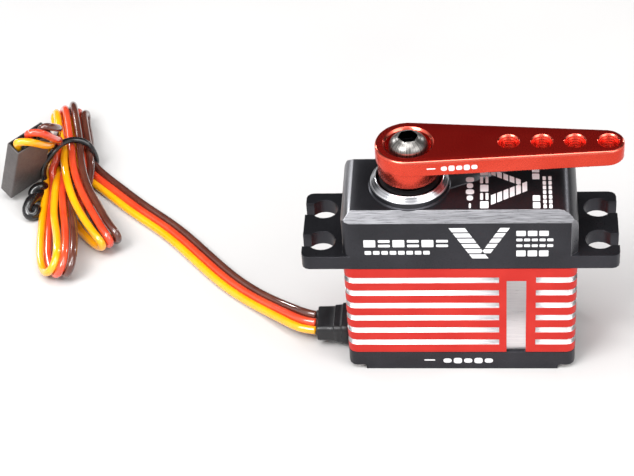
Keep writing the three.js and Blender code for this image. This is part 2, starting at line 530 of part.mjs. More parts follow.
// plug, standing on its socket end and leaning on the hank
{
  const down = new THREE.Vector3(-3.9, 3.7, -12.9).normalize(); // wire end to socket end
  const width = new THREE.Vector3(4.9, 5.9, 0);
  width.addScaledVector(down, -width.dot(down)).normalize();
  const thick = new THREE.Vector3().crossVectors(width, down).normalize(); // towards the viewer's right
  const W = 7.7;
  const T = 2.9;
  const H = 14;
  const g = new THREE.Group();
  // local x = width, y = -thick, z = up the plug
  const up = down.clone().negate();
  const back = new THREE.Vector3().crossVectors(up, width).normalize();
  const m = new THREE.Matrix4().makeBasis(width, back, up);
  const foot = new THREE.Vector3(-79.7, 34.2, 0.72);
  const centre = foot.clone().addScaledVector(width, W / 2).addScaledVector(back, T / 2);
  m.setPosition(centre);
  g.applyMatrix4(m);
  group.add(g);
  let s = solid(prism(roundRect(-W / 2, W / 2, -T / 2, T / 2, [0.25, 0.25, 0.9, 0.9], 1), 0, H));
  s = s.subtract(box(-3.5, 3.5, -0.95, 0.95, 12.2, 15));
  for (const k of [-1, 0, 1]) s = s.subtract(box(2.54 * k - 0.95, 2.54 * k + 0.95, -0.95, 0.95, -1, 12.4));
  add("plug_housing", s, BLACK_PLASTIC, g);
  ["signal", "power", "ground"].forEach((n, i) => {
    const x = 2.54 * (i - 1);
    add("plug_contact_" + n, solid(boxGeo(x - 0.65, x + 0.65, -0.65, 0.65, 1.0, 11.0)).subtract(box(x - 0.4, x + 0.4, -0.4, 0.4, 0, 6)), BRASS, g);
  });
  // the short ends of the wires between plug and hank
  const top = centre.clone().addScaledVector(up, H + 0.3);
  const q = (a, b, c2) => top.clone().addScaledVector(width, a).addScaledVector(back, b).addScaledVector(up, c2).toArray();
  const p0 = q(0, 0, 0);
  const p1 = q(0, 0, 0.9);
  add(
    "lead_tail",
    tubeAlong([p0, p1, [-73.0, 33.2, 15.7], [-71.2, 34.0, 14.2], [-70.4, 35.6, 11.8], [-70.1, 37.2, 9.9]], 1.3, 8, 12),
    { color: 0xd8261c, roughness: 0.4, metalness: 0 },
  );
}

// ---------- horn and its screw ----------
{
  const pts = [];
  const hx = AX;
  const tx = AX + HORN_REACH;
  const lean = Math.asin((HORN_END_R - HORN_TIP_R) / HORN_REACH);
  const a0 = Math.PI / 2 - lean;
  for (let i = 0; i <= 22; i++) {
    const a = a0 + (i * (2 * Math.PI - 2 * a0)) / 22;
    pts.push([hx + HORN_END_R * Math.cos(a), HORN_END_R * Math.sin(a)]);
  }
  for (let i = 0; i <= 10; i++) {
    const a = -a0 + (i * 2 * a0) / 10;
    pts.push([tx + HORN_TIP_R * Math.cos(a), HORN_TIP_R * Math.sin(a)]);
  }
  const c = 0.35;
  const inset = (r0, r1) => {
    const out = [];
    const l2 = Math.asin((r0 - r1) / HORN_REACH);
    const b0 = Math.PI / 2 - l2;
    for (let i = 0; i <= 22; i++) {
      const a = b0 + (i * (2 * Math.PI - 2 * b0)) / 22;
      out.push(new THREE.Vector2(hx + r0 * Math.cos(a), r0 * Math.sin(a)));
    }
    for (let i = 0; i <= 10; i++) {
      const a = -b0 + (i * 2 * b0) / 10;
      out.push(new THREE.Vector2(tx + r1 * Math.cos(a), r1 * Math.sin(a)));
    }
    return out;
  };
  const shape = new THREE.Shape(inset(HORN_END_R - c, HORN_TIP_R - c));
  const arm = new THREE.ExtrudeGeometry(shape, {
    depth: HORN_TOP - HORN_ARM_Z0 - 2 * c,
    bevelEnabled: true,
    bevelThickness: c,
    bevelSize: c,
    bevelSegments: 1,
    steps: 1,
  }).translate(0, 0, HORN_ARM_Z0 + c);
  let s = solid(arm);
  s = s.add(solid(turned([[0, HORN_Z0], [HORN_HUB_R - 0.3, HORN_Z0], [HORN_HUB_R, HORN_Z0 + 0.3], [HORN_HUB_R, 37.5], [0, 37.5]], AX, 0, 28)));
  s = s.subtract(solid(rod(AX, 0, 33, 37.1, 3.0, 28)));
  s = s.subtract(solid(rod(AX, 0, 36, 40, 1.65, 18)));
  s = s.subtract(solid(rod(AX, 0, 38.3, 41, 3.45, 28)));
  for (const d of HORN_HOLES) s = s.subtract(solid(rod(AX + d, 0, 36, 40, HORN_HOLE_R, 16)));
  add("horn", s, RED_ANODISED);

  let k = solid(turned([[0, 38.36], [2.85, 38.36], [2.85, 38.85], [2.62, 39.6], [2.15, 40.2], [1.6, 40.6], [0, 40.75]], AX, 0, 28));
  k = k.add(solid(rod(AX, 0, 31.5, 38.6, 1.48, 16)));
  k = k.subtract(solid(prism(circlePoints(AX, 0, 1.42, 6), 39.0, 41)));
  add("horn_screw", k, STEEL);
}

export default group;
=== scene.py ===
import json
import math
import bpy
import bmesh
import numpy as np
from mathutils import Matrix, Vector


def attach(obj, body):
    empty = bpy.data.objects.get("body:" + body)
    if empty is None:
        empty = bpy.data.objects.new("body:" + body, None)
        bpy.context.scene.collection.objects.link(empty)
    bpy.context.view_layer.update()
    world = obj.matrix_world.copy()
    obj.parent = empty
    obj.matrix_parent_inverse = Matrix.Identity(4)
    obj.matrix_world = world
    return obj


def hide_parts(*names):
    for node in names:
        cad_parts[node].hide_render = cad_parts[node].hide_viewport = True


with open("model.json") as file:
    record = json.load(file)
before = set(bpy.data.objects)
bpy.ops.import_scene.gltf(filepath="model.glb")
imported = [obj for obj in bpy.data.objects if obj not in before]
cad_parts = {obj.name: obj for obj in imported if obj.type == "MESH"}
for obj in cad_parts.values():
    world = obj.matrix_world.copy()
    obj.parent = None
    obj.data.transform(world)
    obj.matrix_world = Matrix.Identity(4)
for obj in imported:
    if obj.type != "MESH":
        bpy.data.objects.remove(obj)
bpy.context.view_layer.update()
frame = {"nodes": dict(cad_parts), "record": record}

# A hobby servo motor with its horn, three-wire lead, tie and plug. Everything is in metres in the CAD part's frame;
# the numbers below are in millimetres and are multiplied by MM where they are used.
MM = 0.001
AX_MM = -7.5
scene = bpy.context.scene
nodes = frame["nodes"]

# ---------------------------------------------------------------- camera
F_PX, WIDE, HIGH = 2045.0, 634, 476
CAM = Vector((4.8, -239.5, 227.3)) * MM
YAW, PITCH, ROLL = (math.radians(a) for a in (-6.43, 40.59, -4.48))
fwd = Vector((math.sin(YAW) * math.cos(PITCH), math.cos(YAW) * math.cos(PITCH), -math.sin(PITCH)))
right = Vector((math.cos(YAW), -math.sin(YAW), 0.0))
up = right.cross(fwd)
r2 = right * math.cos(ROLL) + up * math.sin(ROLL)
u2 = up * math.cos(ROLL) - right * math.sin(ROLL)
cam_data = bpy.data.cameras.new("camera")
cam_data.sensor_fit = "HORIZONTAL"
cam_data.sensor_width = 36.0
cam_data.lens = F_PX / WIDE * 36.0
cam_data.clip_start, cam_data.clip_end = 0.01, 20.0
cam = bpy.data.objects.new("camera", cam_data)
scene.collection.objects.link(cam)
cam.matrix_world = Matrix(
    (
        (r2.x, u2.x, -fwd.x, CAM.x),
        (r2.y, u2.y, -fwd.y, CAM.y),
        (r2.z, u2.z, -fwd.z, CAM.z),
        (0, 0, 0, 1),
    )
)
scene.camera = cam
scene.view_settings.view_transform = "Standard"
scene.view_settings.look = "None"

# ---------------------------------------------------------------- materials
def node_mat(name, base, rough=0.5, metal=0.0, **sockets):
    """A principled material; base is linear rgb. Returns (material, tree, shader)."""
    m = bpy.data.materials.new(name)
    m.use_nodes = True
    t = m.node_tree
    s = t.nodes["Principled BSDF"]
    s.inputs["Base Color"].default_value = (*base, 1)
    s.inputs["Roughness"].default_value = rough
    s.inputs["Metallic"].default_value = metal
    for k, v in sockets.items():
        s.inputs[k.replace("_", " ")].default_value = v
    return m, t, s


def srgb(h):
    c = [int(h[i : i + 2], 16) / 255 for i in (0, 2, 4)]
    return tuple(x / 12.92 if x <= 0.04045 else ((x + 0.055) / 1.055) ** 2.4 for x in c)


def add(t, kind, **props):
    n = t.nodes.new(kind)
    for k, v in props.items():
        setattr(n, k, v)
    return n


def ramp(t, src, stops):
    r = add(t, "ShaderNodeValToRGB")
    el = r.color_ramp.elements
    while len(el) < len(stops):
        el.new(0.5)
    for e, (p, c) in zip(el, stops):
        e.position = p
        e.color = (*c, 1) if len(c) == 3 else c
    t.links.new(src, r.inputs["Fac"])
    return r


def coords(t, scale=(1, 1, 1), rot=(0, 0, 0)):
    c = add(t, "ShaderNodeTexCoord")
    m = add(t, "ShaderNodeMapping")
    m.inputs["Scale"].default_value = scale
    m.inputs["Rotation"].default_value = rot
    t.links.new(c.outputs["Object"], m.inputs["Vector"])
    return m.outputs["Vector"]


def noise(t, vec, scale, detail=3.0, rough=0.5):
    n = add(t, "ShaderNodeTexNoise")
    n.inputs["Scale"].default_value = scale
    n.inputs["Detail"].default_value = detail
    n.inputs["Roughness"].default_value = rough
    t.links.new(vec, n.inputs["Vector"])
    return n.outputs["Fac"]


def bump(t, s, src, strength, distance):
    b = add(t, "ShaderNodeBump")
    if s.inputs["Metallic"].default_value > 0.3:
        e = add(t, "ShaderNodeBevel", samples=6)
        e.inputs["Radius"].default_value = 0.00012
        t.links.new(e.outputs["Normal"], b.inputs["Normal"])
    b.inputs["Strength"].default_value = strength
    b.inputs["Distance"].default_value = distance
    t.links.new(src, b.inputs["Height"])
    t.links.new(b.outputs["Normal"], s.inputs["Normal"])
    return b


def vary(t, s, vec, scale, a, b, detail=3.0):
    """Base colour that drifts between two linear colours."""
    r = ramp(t, noise(t, vec, scale, detail), [(0.3, a), (0.7, b)])
    t.links.new(r.outputs["Color"], s.inputs["Base Color"])


def vary_rough(t, s, src, lo, hi, p0=0.3, p1=0.7):
    m = add(t, "ShaderNodeMapRange")
    m.inputs["From Min"].default_value, m.inputs["From Max"].default_value = p0, p1
    m.inputs["To Min"].default_value, m.inputs["To Max"].default_value = lo, hi
    t.links.new(src, m.inputs["Value"])
    t.links.new(m.outputs["Result"], s.inputs["Roughness"])


def blasted(name, a, b, rough, metal, grain=9000.0, depth=0.000004, strength=0.35, **k):
    """Bead-blasted and anodised metal: very fine grain, a slight drift of tone."""
    m, t, s = node_mat(name, a, rough, metal, **k)
    v = coords(t)
    vary(t, s, v, 160.0, a, b)
    g = noise(t, v, grain, 2.0, 0.6)
    vary_rough(t, s, g, rough - 0.06, rough + 0.08)
    bump(t, s, g, strength, depth)
    return m


def cut_metal(name, a, b, rough=0.22, lines=(40, 900, 900), metal=1.0, depth=0.0000025, **k):
    """Machined bright metal: streaks along one axis of the part."""
    m, t, s = node_mat(name, a, rough, metal, **k)
    v = coords(t, lines)
    g = noise(t, v, 6.0, 4.0, 0.6)
    r = ramp(t, g, [(0.25, a), (0.75, b)])
    t.links.new(r.outputs["Color"], s.inputs["Base Color"])
    vary_rough(t, s, g, rough - 0.07, rough + 0.12)
    bump(t, s, g, 0.5, depth)
    return m


def turned(name, a, b, rough=0.2, centre=(0, 0), rings=5200.0, metal=1.0, depth=0.000003, spokes=False):
    """Turned metal: fine rings (or spokes) round a vertical axis at centre, in mm."""
    m, t, s = node_mat(name, a, rough, metal)
    c = add(t, "ShaderNodeTexCoord")
    off = add(t, "ShaderNodeVectorMath", operation="SUBTRACT")
    off.inputs[1].default_value = (centre[0] * MM, centre[1] * MM, 0)
    t.links.new(c.outputs["Object"], off.inputs[0])
    sep = add(t, "ShaderNodeSeparateXYZ")
    t.links.new(off.outputs["Vector"], sep.inputs["Vector"])
    if spokes:
        q = add(t, "ShaderNodeMath", operation="ARCTAN2")
        t.links.new(sep.outputs["Y"], q.inputs[0])
        t.links.new(sep.outputs["X"], q.inputs[1])
        src, scale = q.outputs["Value"], 14.0
    else:
        ln = add(t, "ShaderNodeVectorMath", operation="LENGTH")
        flat = add(t, "ShaderNodeCombineXYZ")
        t.links.new(sep.outputs["X"], flat.inputs["X"])
        t.links.new(sep.outputs["Y"], flat.inputs["Y"])
        t.links.new(flat.outputs["Vector"], ln.inputs[0])
        src, scale = ln.outputs["Value"], rings
    one = add(t, "ShaderNodeTexNoise", noise_dimensions="1D")
    one.inputs["Scale"].default_value = scale
    one.inputs["Detail"].default_value = 3.0
    t.links.new(src, one.inputs["W"])
    r = ramp(t, one.outputs["Fac"], [(0.3, a), (0.7, b)])
    t.links.new(r.outputs["Color"], s.inputs["Base Color"])
    vary_rough(t, s, one.outputs["Fac"], rough - 0.06, rough + 0.12)
    bump(t, s, one.outputs["Fac"], 0.4, depth)
    return m


def insulation(name, a, b, tint):
    """Glossy extruded wire insulation with a faint waviness."""
    m, t, s = node_mat(name, a, 0.2, 0.0, Specular_IOR_Level=0.6, Coat_Weight=0.9, Coat_Roughness=0.04, Subsurface_Weight=0.12, Subsurface_Scale=0.0006)
    s.inputs["Subsurface Radius"].default_value = tint
    v = coords(t)
    vary(t, s, v, 220.0, a, b)
    g = noise(t, v, 520.0, 3.0)
    vary_rough(t, s, g, 0.15, 0.27)
    bump(t, s, g, 0.25, 0.00003)
    return m


def plastic(name, a, b, rough=0.45, grain=2600.0, depth=0.000012, strength=0.35, **k):
    m, t, s = node_mat(name, a, rough, 0.0, **k)
    v = coords(t)
    vary(t, s, v, 300.0, a, b)
    g = noise(t, v, grain, 3.0, 0.55)
    vary_rough(t, s, g, rough - 0.07, rough + 0.1)
    bump(t, s, g, strength, depth)
    return m


M = {
    "black_anodised": blasted("black_anodised", srgb("303034"), srgb("3a3a3f"), 0.31, 0.8),
    "red_anodised": blasted("red_anodised", srgb("cb2e27"), srgb("d63830"), 0.42, 0.7, grain=7000.0),
    "horn_red": blasted("horn_red", srgb("e62a24"), srgb("f0362c"), 0.27, 0.95, grain=8000.0, strength=0.22),
    # a lighter, more orange copy of the horn red for the side walls, hole walls and threads: painted light on the sides
    "horn_side_painted_light": blasted("horn_side_painted_light", srgb("d2402f"), srgb("e04e3c"), 0.25, 0.95, grain=5000.0, strength=0.2),
    # a much lighter copy of the horn red on the horn's chamfered edges: painted highlight
    "horn_edge_painted_highlight": cut_metal("horn_edge_painted_highlight", srgb("ea5a48"), srgb("fb7a68"), 0.18, (300, 1800, 1800)),
    # near-black painted shade on the bearing's steel races, down in the bore of the boss
    "race_painted_shade": cut_metal("race_painted_shade", srgb("1c1c1f"), srgb("2b2b2f"), 0.3, (900, 900, 900)),
    # near-black painted shade for the inside of the screw's hex socket, which is the same steel as the head
    "screw_socket_painted_shade": cut_metal("screw_socket_painted_shade", srgb("101013"), srgb("1d1d21"), 0.3, (900, 900, 900)),
    "bright_cut": cut_metal("bright_cut", srgb("707074"), srgb("a6a6aa"), 0.3, (60, 2400, 2400)),
    "groove_metal": cut_metal("groove_metal", srgb("dedcde"), srgb("f2f0f0"), 0.34, (50, 1500, 1500)),
    "screw_steel": turned("screw_steel", srgb("5e5c5c"), srgb("96938f"), 0.3, (AX_MM, 0), spokes=True),
    "bearing_steel": turned("bearing_steel", srgb("8a8a90"), srgb("b2b3b8"), 0.2, (AX_MM, 0)),
    "boss_ring": turned("boss_ring", srgb("a8a9ae"), srgb("d6d6da"), 0.2, (AX_MM, 0), 4200.0),
    "gear_steel": cut_metal("gear_steel", srgb("83858b"), srgb("a7a9ae"), 0.3, (900, 900, 900)),
    "hardened_steel": cut_metal("hardened_steel", srgb("85868c"), srgb("a9aab0"), 0.2, (700, 700, 2200)),
    "brass": cut_metal("brass", srgb("b08d4a"), srgb("cfae68"), 0.28, (900, 900, 900)),
    "contact_metal": cut_metal("contact_metal", srgb("b8a468"), srgb("d8c890"), 0.25, (900, 900, 400)),
    "copper": cut_metal("copper", srgb("9c5a34"), srgb("c07a4c"), 0.35, (3000, 3000, 400)),
    "motor_steel": cut_metal("motor_steel", srgb("8d8f94"), srgb("aeb0b4"), 0.32, (500, 500, 1800)),
    "magnet": plastic("magnet", srgb("2c2c30"), srgb("3a3a3e"), 0.5),
    "black_plastic": plastic("black_plastic", srgb("141416"), srgb("1d1d20"), 0.42),
    "chip_epoxy": plastic("chip_epoxy", srgb("121214"), srgb("1b1b1e"), 0.55),
    "capacitor_sleeve": plastic("capacitor_sleeve", srgb("1c2340"), srgb("262f52"), 0.32),
    "board_laminate": plastic("board_laminate", srgb("0f3d2a"), srgb("175238"), 0.4, 1500.0),
    "black_rubber": plastic("black_rubber", srgb("121214"), srgb("1c1c1f"), 0.4, 1800.0, 0.00003, 0.4),
    "brown_insulation": insulation("brown_insulation", srgb("4f261d"), srgb("643629"), (0.5, 0.2, 0.1)),
    "red_insulation": insulation("red_insulation", srgb("d63c1e"), srgb("e2502e"), (1.0, 0.3, 0.15)),
    "yellow_insulation": insulation("yellow_insulation", srgb("f4a400"), srgb("fab310"), (1.0, 0.6, 0.1)),
    "mixed_insulation": insulation("mixed_insulation", srgb("b4401c"), srgb("c0522c"), (1.0, 0.4, 0.15)),
    "tie_coating": plastic("tie_coating", srgb("0d0d0f"), srgb("151518"), 0.2, 1500.0, 0.00002, 0.25, Coat_Weight=0.4, Coat_Roughness=0.1),
    "plug_plastic": plastic("plug_plastic", srgb("4c4847"), srgb("5c5655"), 0.5, 2600.0, 0.00002, 0.5),
    # near-black painted shade inside the plug's recess and contact cavities; it also covers the plug's top rim
    "plug_inside_painted_shade": plastic("plug_inside_painted_shade", srgb("070707"), srgb("0c0c0c"), 0.6),
    "bright_screw": cut_metal("bright_screw", srgb("b9b4b2"), srgb("dedad8"), 0.3, (900, 900, 900)),
    "white_mark": plastic("white_mark", srgb("e4e4e6"), srgb("f2f2f4"), 0.45, 5000.0, 0.000004, 0.3),
}
SLOT_OF = {p["node"]: p["material_slot"] for p in frame["record"]["subparts"]}


def dress(o, material):
    """Puts a material in an object's slots."""
    if not o.material_slots:
        o.data.materials.append(material)
    for s in o.material_slots:
        s.material = material
    return o


for name, o in nodes.items():
    dress(o, M[SLOT_OF[name]])

# ---------------------------------------------------------------- floor and light
def floor_mat():
    m, t, s = node_mat("studio_floor", srgb("c3c2c2"), 0.6, 0.0, Specular_IOR_Level=0.3)
    v = coords(t)
    vary(t, s, v, 14.0, srgb("c0bfbf"), srgb("c6c5c4"))
    return m


bm = bmesh.new()
bmesh.ops.create_grid(bm, x_segments=24, y_segments=24, size=1.6)
me = bpy.data.meshes.new("floor")
bm.to_mesh(me)
bm.free()
floor = link_early = bpy.data.objects.new("floor", me)
scene.collection.objects.link(floor)
floor.location = (0, 0, -0.00003)
me.materials.append(floor_mat())

world = bpy.data.worlds.new("studio")
scene.world = world
world.use_nodes = True
wt = world.node_tree
sky = wt.nodes["Background"]
sky.inputs["Strength"].default_value = 1.0
way = add(wt, "ShaderNodeTexCoord")
axes = add(wt, "ShaderNodeSeparateXYZ")
wt.links.new(way.outputs["Generated"], axes.inputs["Vector"])
# dark behind and above the back of the set, bright over the front and at both sides
fall = add(wt, "ShaderNodeMapRange", interpolation_type="SMOOTHSTEP")
fall.inputs["From Min"].default_value, fall.inputs["From Max"].default_value = 0.42, 0.02
fall.inputs["To Min"].default_value, fall.inputs["To Max"].default_value = 0.045, 0.84
wt.links.new(axes.outputs["Y"], fall.inputs["Value"])
shade = add(wt, "ShaderNodeCombineColor")
for k in ("Red", "Green", "Blue"):
    wt.links.new(fall.outputs["Result"], shade.inputs[k])
wt.links.new(shade.outputs["Color"], sky.inputs["Color"])


def softbox(name, place, target, size, power, colour=(1, 1, 1), shape="RECTANGLE"):
    d = bpy.data.lights.new(name, "AREA")
    d.shape = shape
    d.size, d.size_y = size
    d.energy = power
    d.color = colour
    o = bpy.data.objects.new(name, d)
    scene.collection.objects.link(o)
    o.location = place
    o.rotation_euler = (Vector(target) - Vector(place)).to_track_quat("-Z", "Y").to_euler()
    return o


softbox("key", (-0.30, -0.28, 0.55), (-0.02, 0, 0.01), (0.30, 0.30), 3.9)
softbox("fill", (0.42, -0.30, 0.48), (0, 0, 0.02), (0.4, 0.4), 2.0)
softbox("top", (0.0, -0.05, 0.85), (0, 0, 0.0), (0.5, 0.4), 3.6)
softbox("strand_left", (-0.55, 0.52, 0.34), (-0.07, 0.04, 0.0), (0.07, 0.10), 1.3)
softbox("strand_right", (0.42, 0.55, 0.28), (-0.06, 0.03, 0.0), (0.05, 0.08), 0.5)

# ---------------------------------------------------------------- small helpers
def link(o):
    scene.collection.objects.link(o)
    return o


def unit(v):
    v = np.array(v, float)
    return v / max(np.linalg.norm(v), 1e-12)


def spline(points, per=8):
    """A centripetal Catmull-Rom curve through the points, as many columns as they have."""
    p = np.array(points, float)
    p = np.vstack([2 * p[0] - p[1], p, 2 * p[-1] - p[-2]])
    out = []
    for i in range(1, len(p) - 2):
        p0, p1, p2, p3 = p[i - 1 : i + 3]
        t = [0.0]
        for a, b in ((p0, p1), (p1, p2), (p2, p3)):
            t.append(t[-1] + max(np.linalg.norm((b - a)[:3]), 1e-9) ** 0.5)
        for u in np.linspace(t[1], t[2], per, endpoint=False):
            a1 = (t[1] - u) / (t[1] - t[0]) * p0 + (u - t[0]) / (t[1] - t[0]) * p1
            a2 = (t[2] - u) / (t[2] - t[1]) * p1 + (u - t[1]) / (t[2] - t[1]) * p2
            a3 = (t[3] - u) / (t[3] - t[2]) * p2 + (u - t[2]) / (t[3] - t[2]) * p3
            b1 = (t[2] - u) / (t[2] - t[0]) * a1 + (u - t[0]) / (t[2] - t[0]) * a2
            b2 = (t[3] - u) / (t[3] - t[1]) * a2 + (u - t[1]) / (t[3] - t[1]) * a3
            out.append((t[2] - u) / (t[2] - t[1]) * b1 + (u - t[1]) / (t[2] - t[1]) * b2)
    out.append(p[-2])
    return np.array(out)


def resample(line, step):
    seg = np.linalg.norm(np.diff(line[:, :3], axis=0), axis=1)
    s = np.concatenate([[0], np.cumsum(seg)])
    at = np.linspace(0, s[-1], max(2, int(round(s[-1] / step)) + 1))
    return np.stack([np.interp(at, s, line[:, k]) for k in range(line.shape[1])], axis=1)


def frames(line):
    """Parallel-transported normals and binormals along a line."""
    d = np.gradient(line, axis=0)
    d /= np.linalg.norm(d, axis=1)[:, None]
    n = np.cross(d[0], [0, 0, 1])
    if np.linalg.norm(n) < 1e-3:
        n = np.cross(d[0], [1, 0, 0])
    n = unit(n)
    ns = []
    for i in range(len(line)):
        n = unit(n - d[i] * (n @ d[i]))
        ns.append(n)
    ns = np.array(ns)
    return d, ns, np.cross(d, ns)


def tube(name, line, radius, sides=20, caps=True):
    """A tube along a line of points in metres, with a point attribute, along, that holds the distance along it in
    metres.
    """
    line = np.array(line, float)
    radius = np.broadcast_to(np.array(radius, float), (len(line),))
    d, n, b = frames(line)
    verts = []
    for i, p in enumerate(line):
        for k in range(sides):
            a = 2 * math.pi * k / sides
            verts.append(p + radius[i] * (math.cos(a) * n[i] + math.sin(a) * b[i]))
    faces = []
    for i in range(len(line) - 1):
        for k in range(sides):
            a0, a1 = i * sides + k, i * sides + (k + 1) % sides
            faces.append((a0, a1, a1 + sides, a0 + sides))
    if caps:
        faces.append(tuple(range(sides - 1, -1, -1)))
        faces.append(tuple((len(line) - 1) * sides + k for k in range(sides)))
    me = bpy.data.meshes.new(name)
    me.from_pydata([tuple(v) for v in verts], [], faces)
    me.update()
    bm = bmesh.new()
    bm.from_mesh(me)
    bmesh.ops.recalc_face_normals(bm, faces=bm.faces)
    bm.to_mesh(me)
    bm.free()
    along = np.concatenate([[0], np.cumsum(np.linalg.norm(np.diff(line, axis=0), axis=1))])
    att = me.attributes.new("along", "FLOAT", "POINT")
    att.data.foreach_set("value", np.repeat(along, sides).astype(np.float32))
    me.polygons.foreach_set("use_smooth", [True] * len(me.polygons))
    return link(bpy.data.objects.new(name, me))


# ---------------------------------------------------------------- the three wires of the lead
WIRE_D, PITCH = 1.36, 1.38
# The flat lead from the grommet to the hank: x, y, z and the ribbon's tilt in degrees, the same points as the CAD route.
LEAD = [
    [-23.4, 0.1, 2.7, 25], [-25.2, 0.6, 2.68, 24], [-27.0, 1.75, 2.45, 20], [-28.9, 3.5, 1.9, 13], [-30.9, 5.45, 1.2, 6],
    [-33.1, 7.3, 0.8, 2], [-35.4, 9.15, 0.69, 0], [-37.7, 11.2, 0.68, 0], [-40.0, 13.6, 0.68, 0], [-42.4, 16.4, 0.68, 0],
    [-44.8, 19.3, 0.68, 0], [-47.3, 22.3, 0.68, 0], [-49.8, 25.1, 0.68, 0], [-52.2, 27.4, 0.68, 0], [-54.7, 29.6, 0.68, 0],
    [-57.2, 31.9, 0.68, 0], [-59.7, 34.5, 0.68, 0], [-62.1, 37.0, 0.68, 0], [-64.3, 39.2, 0.68, 0], [-66.0, 41.0, 0.68, 0],
]
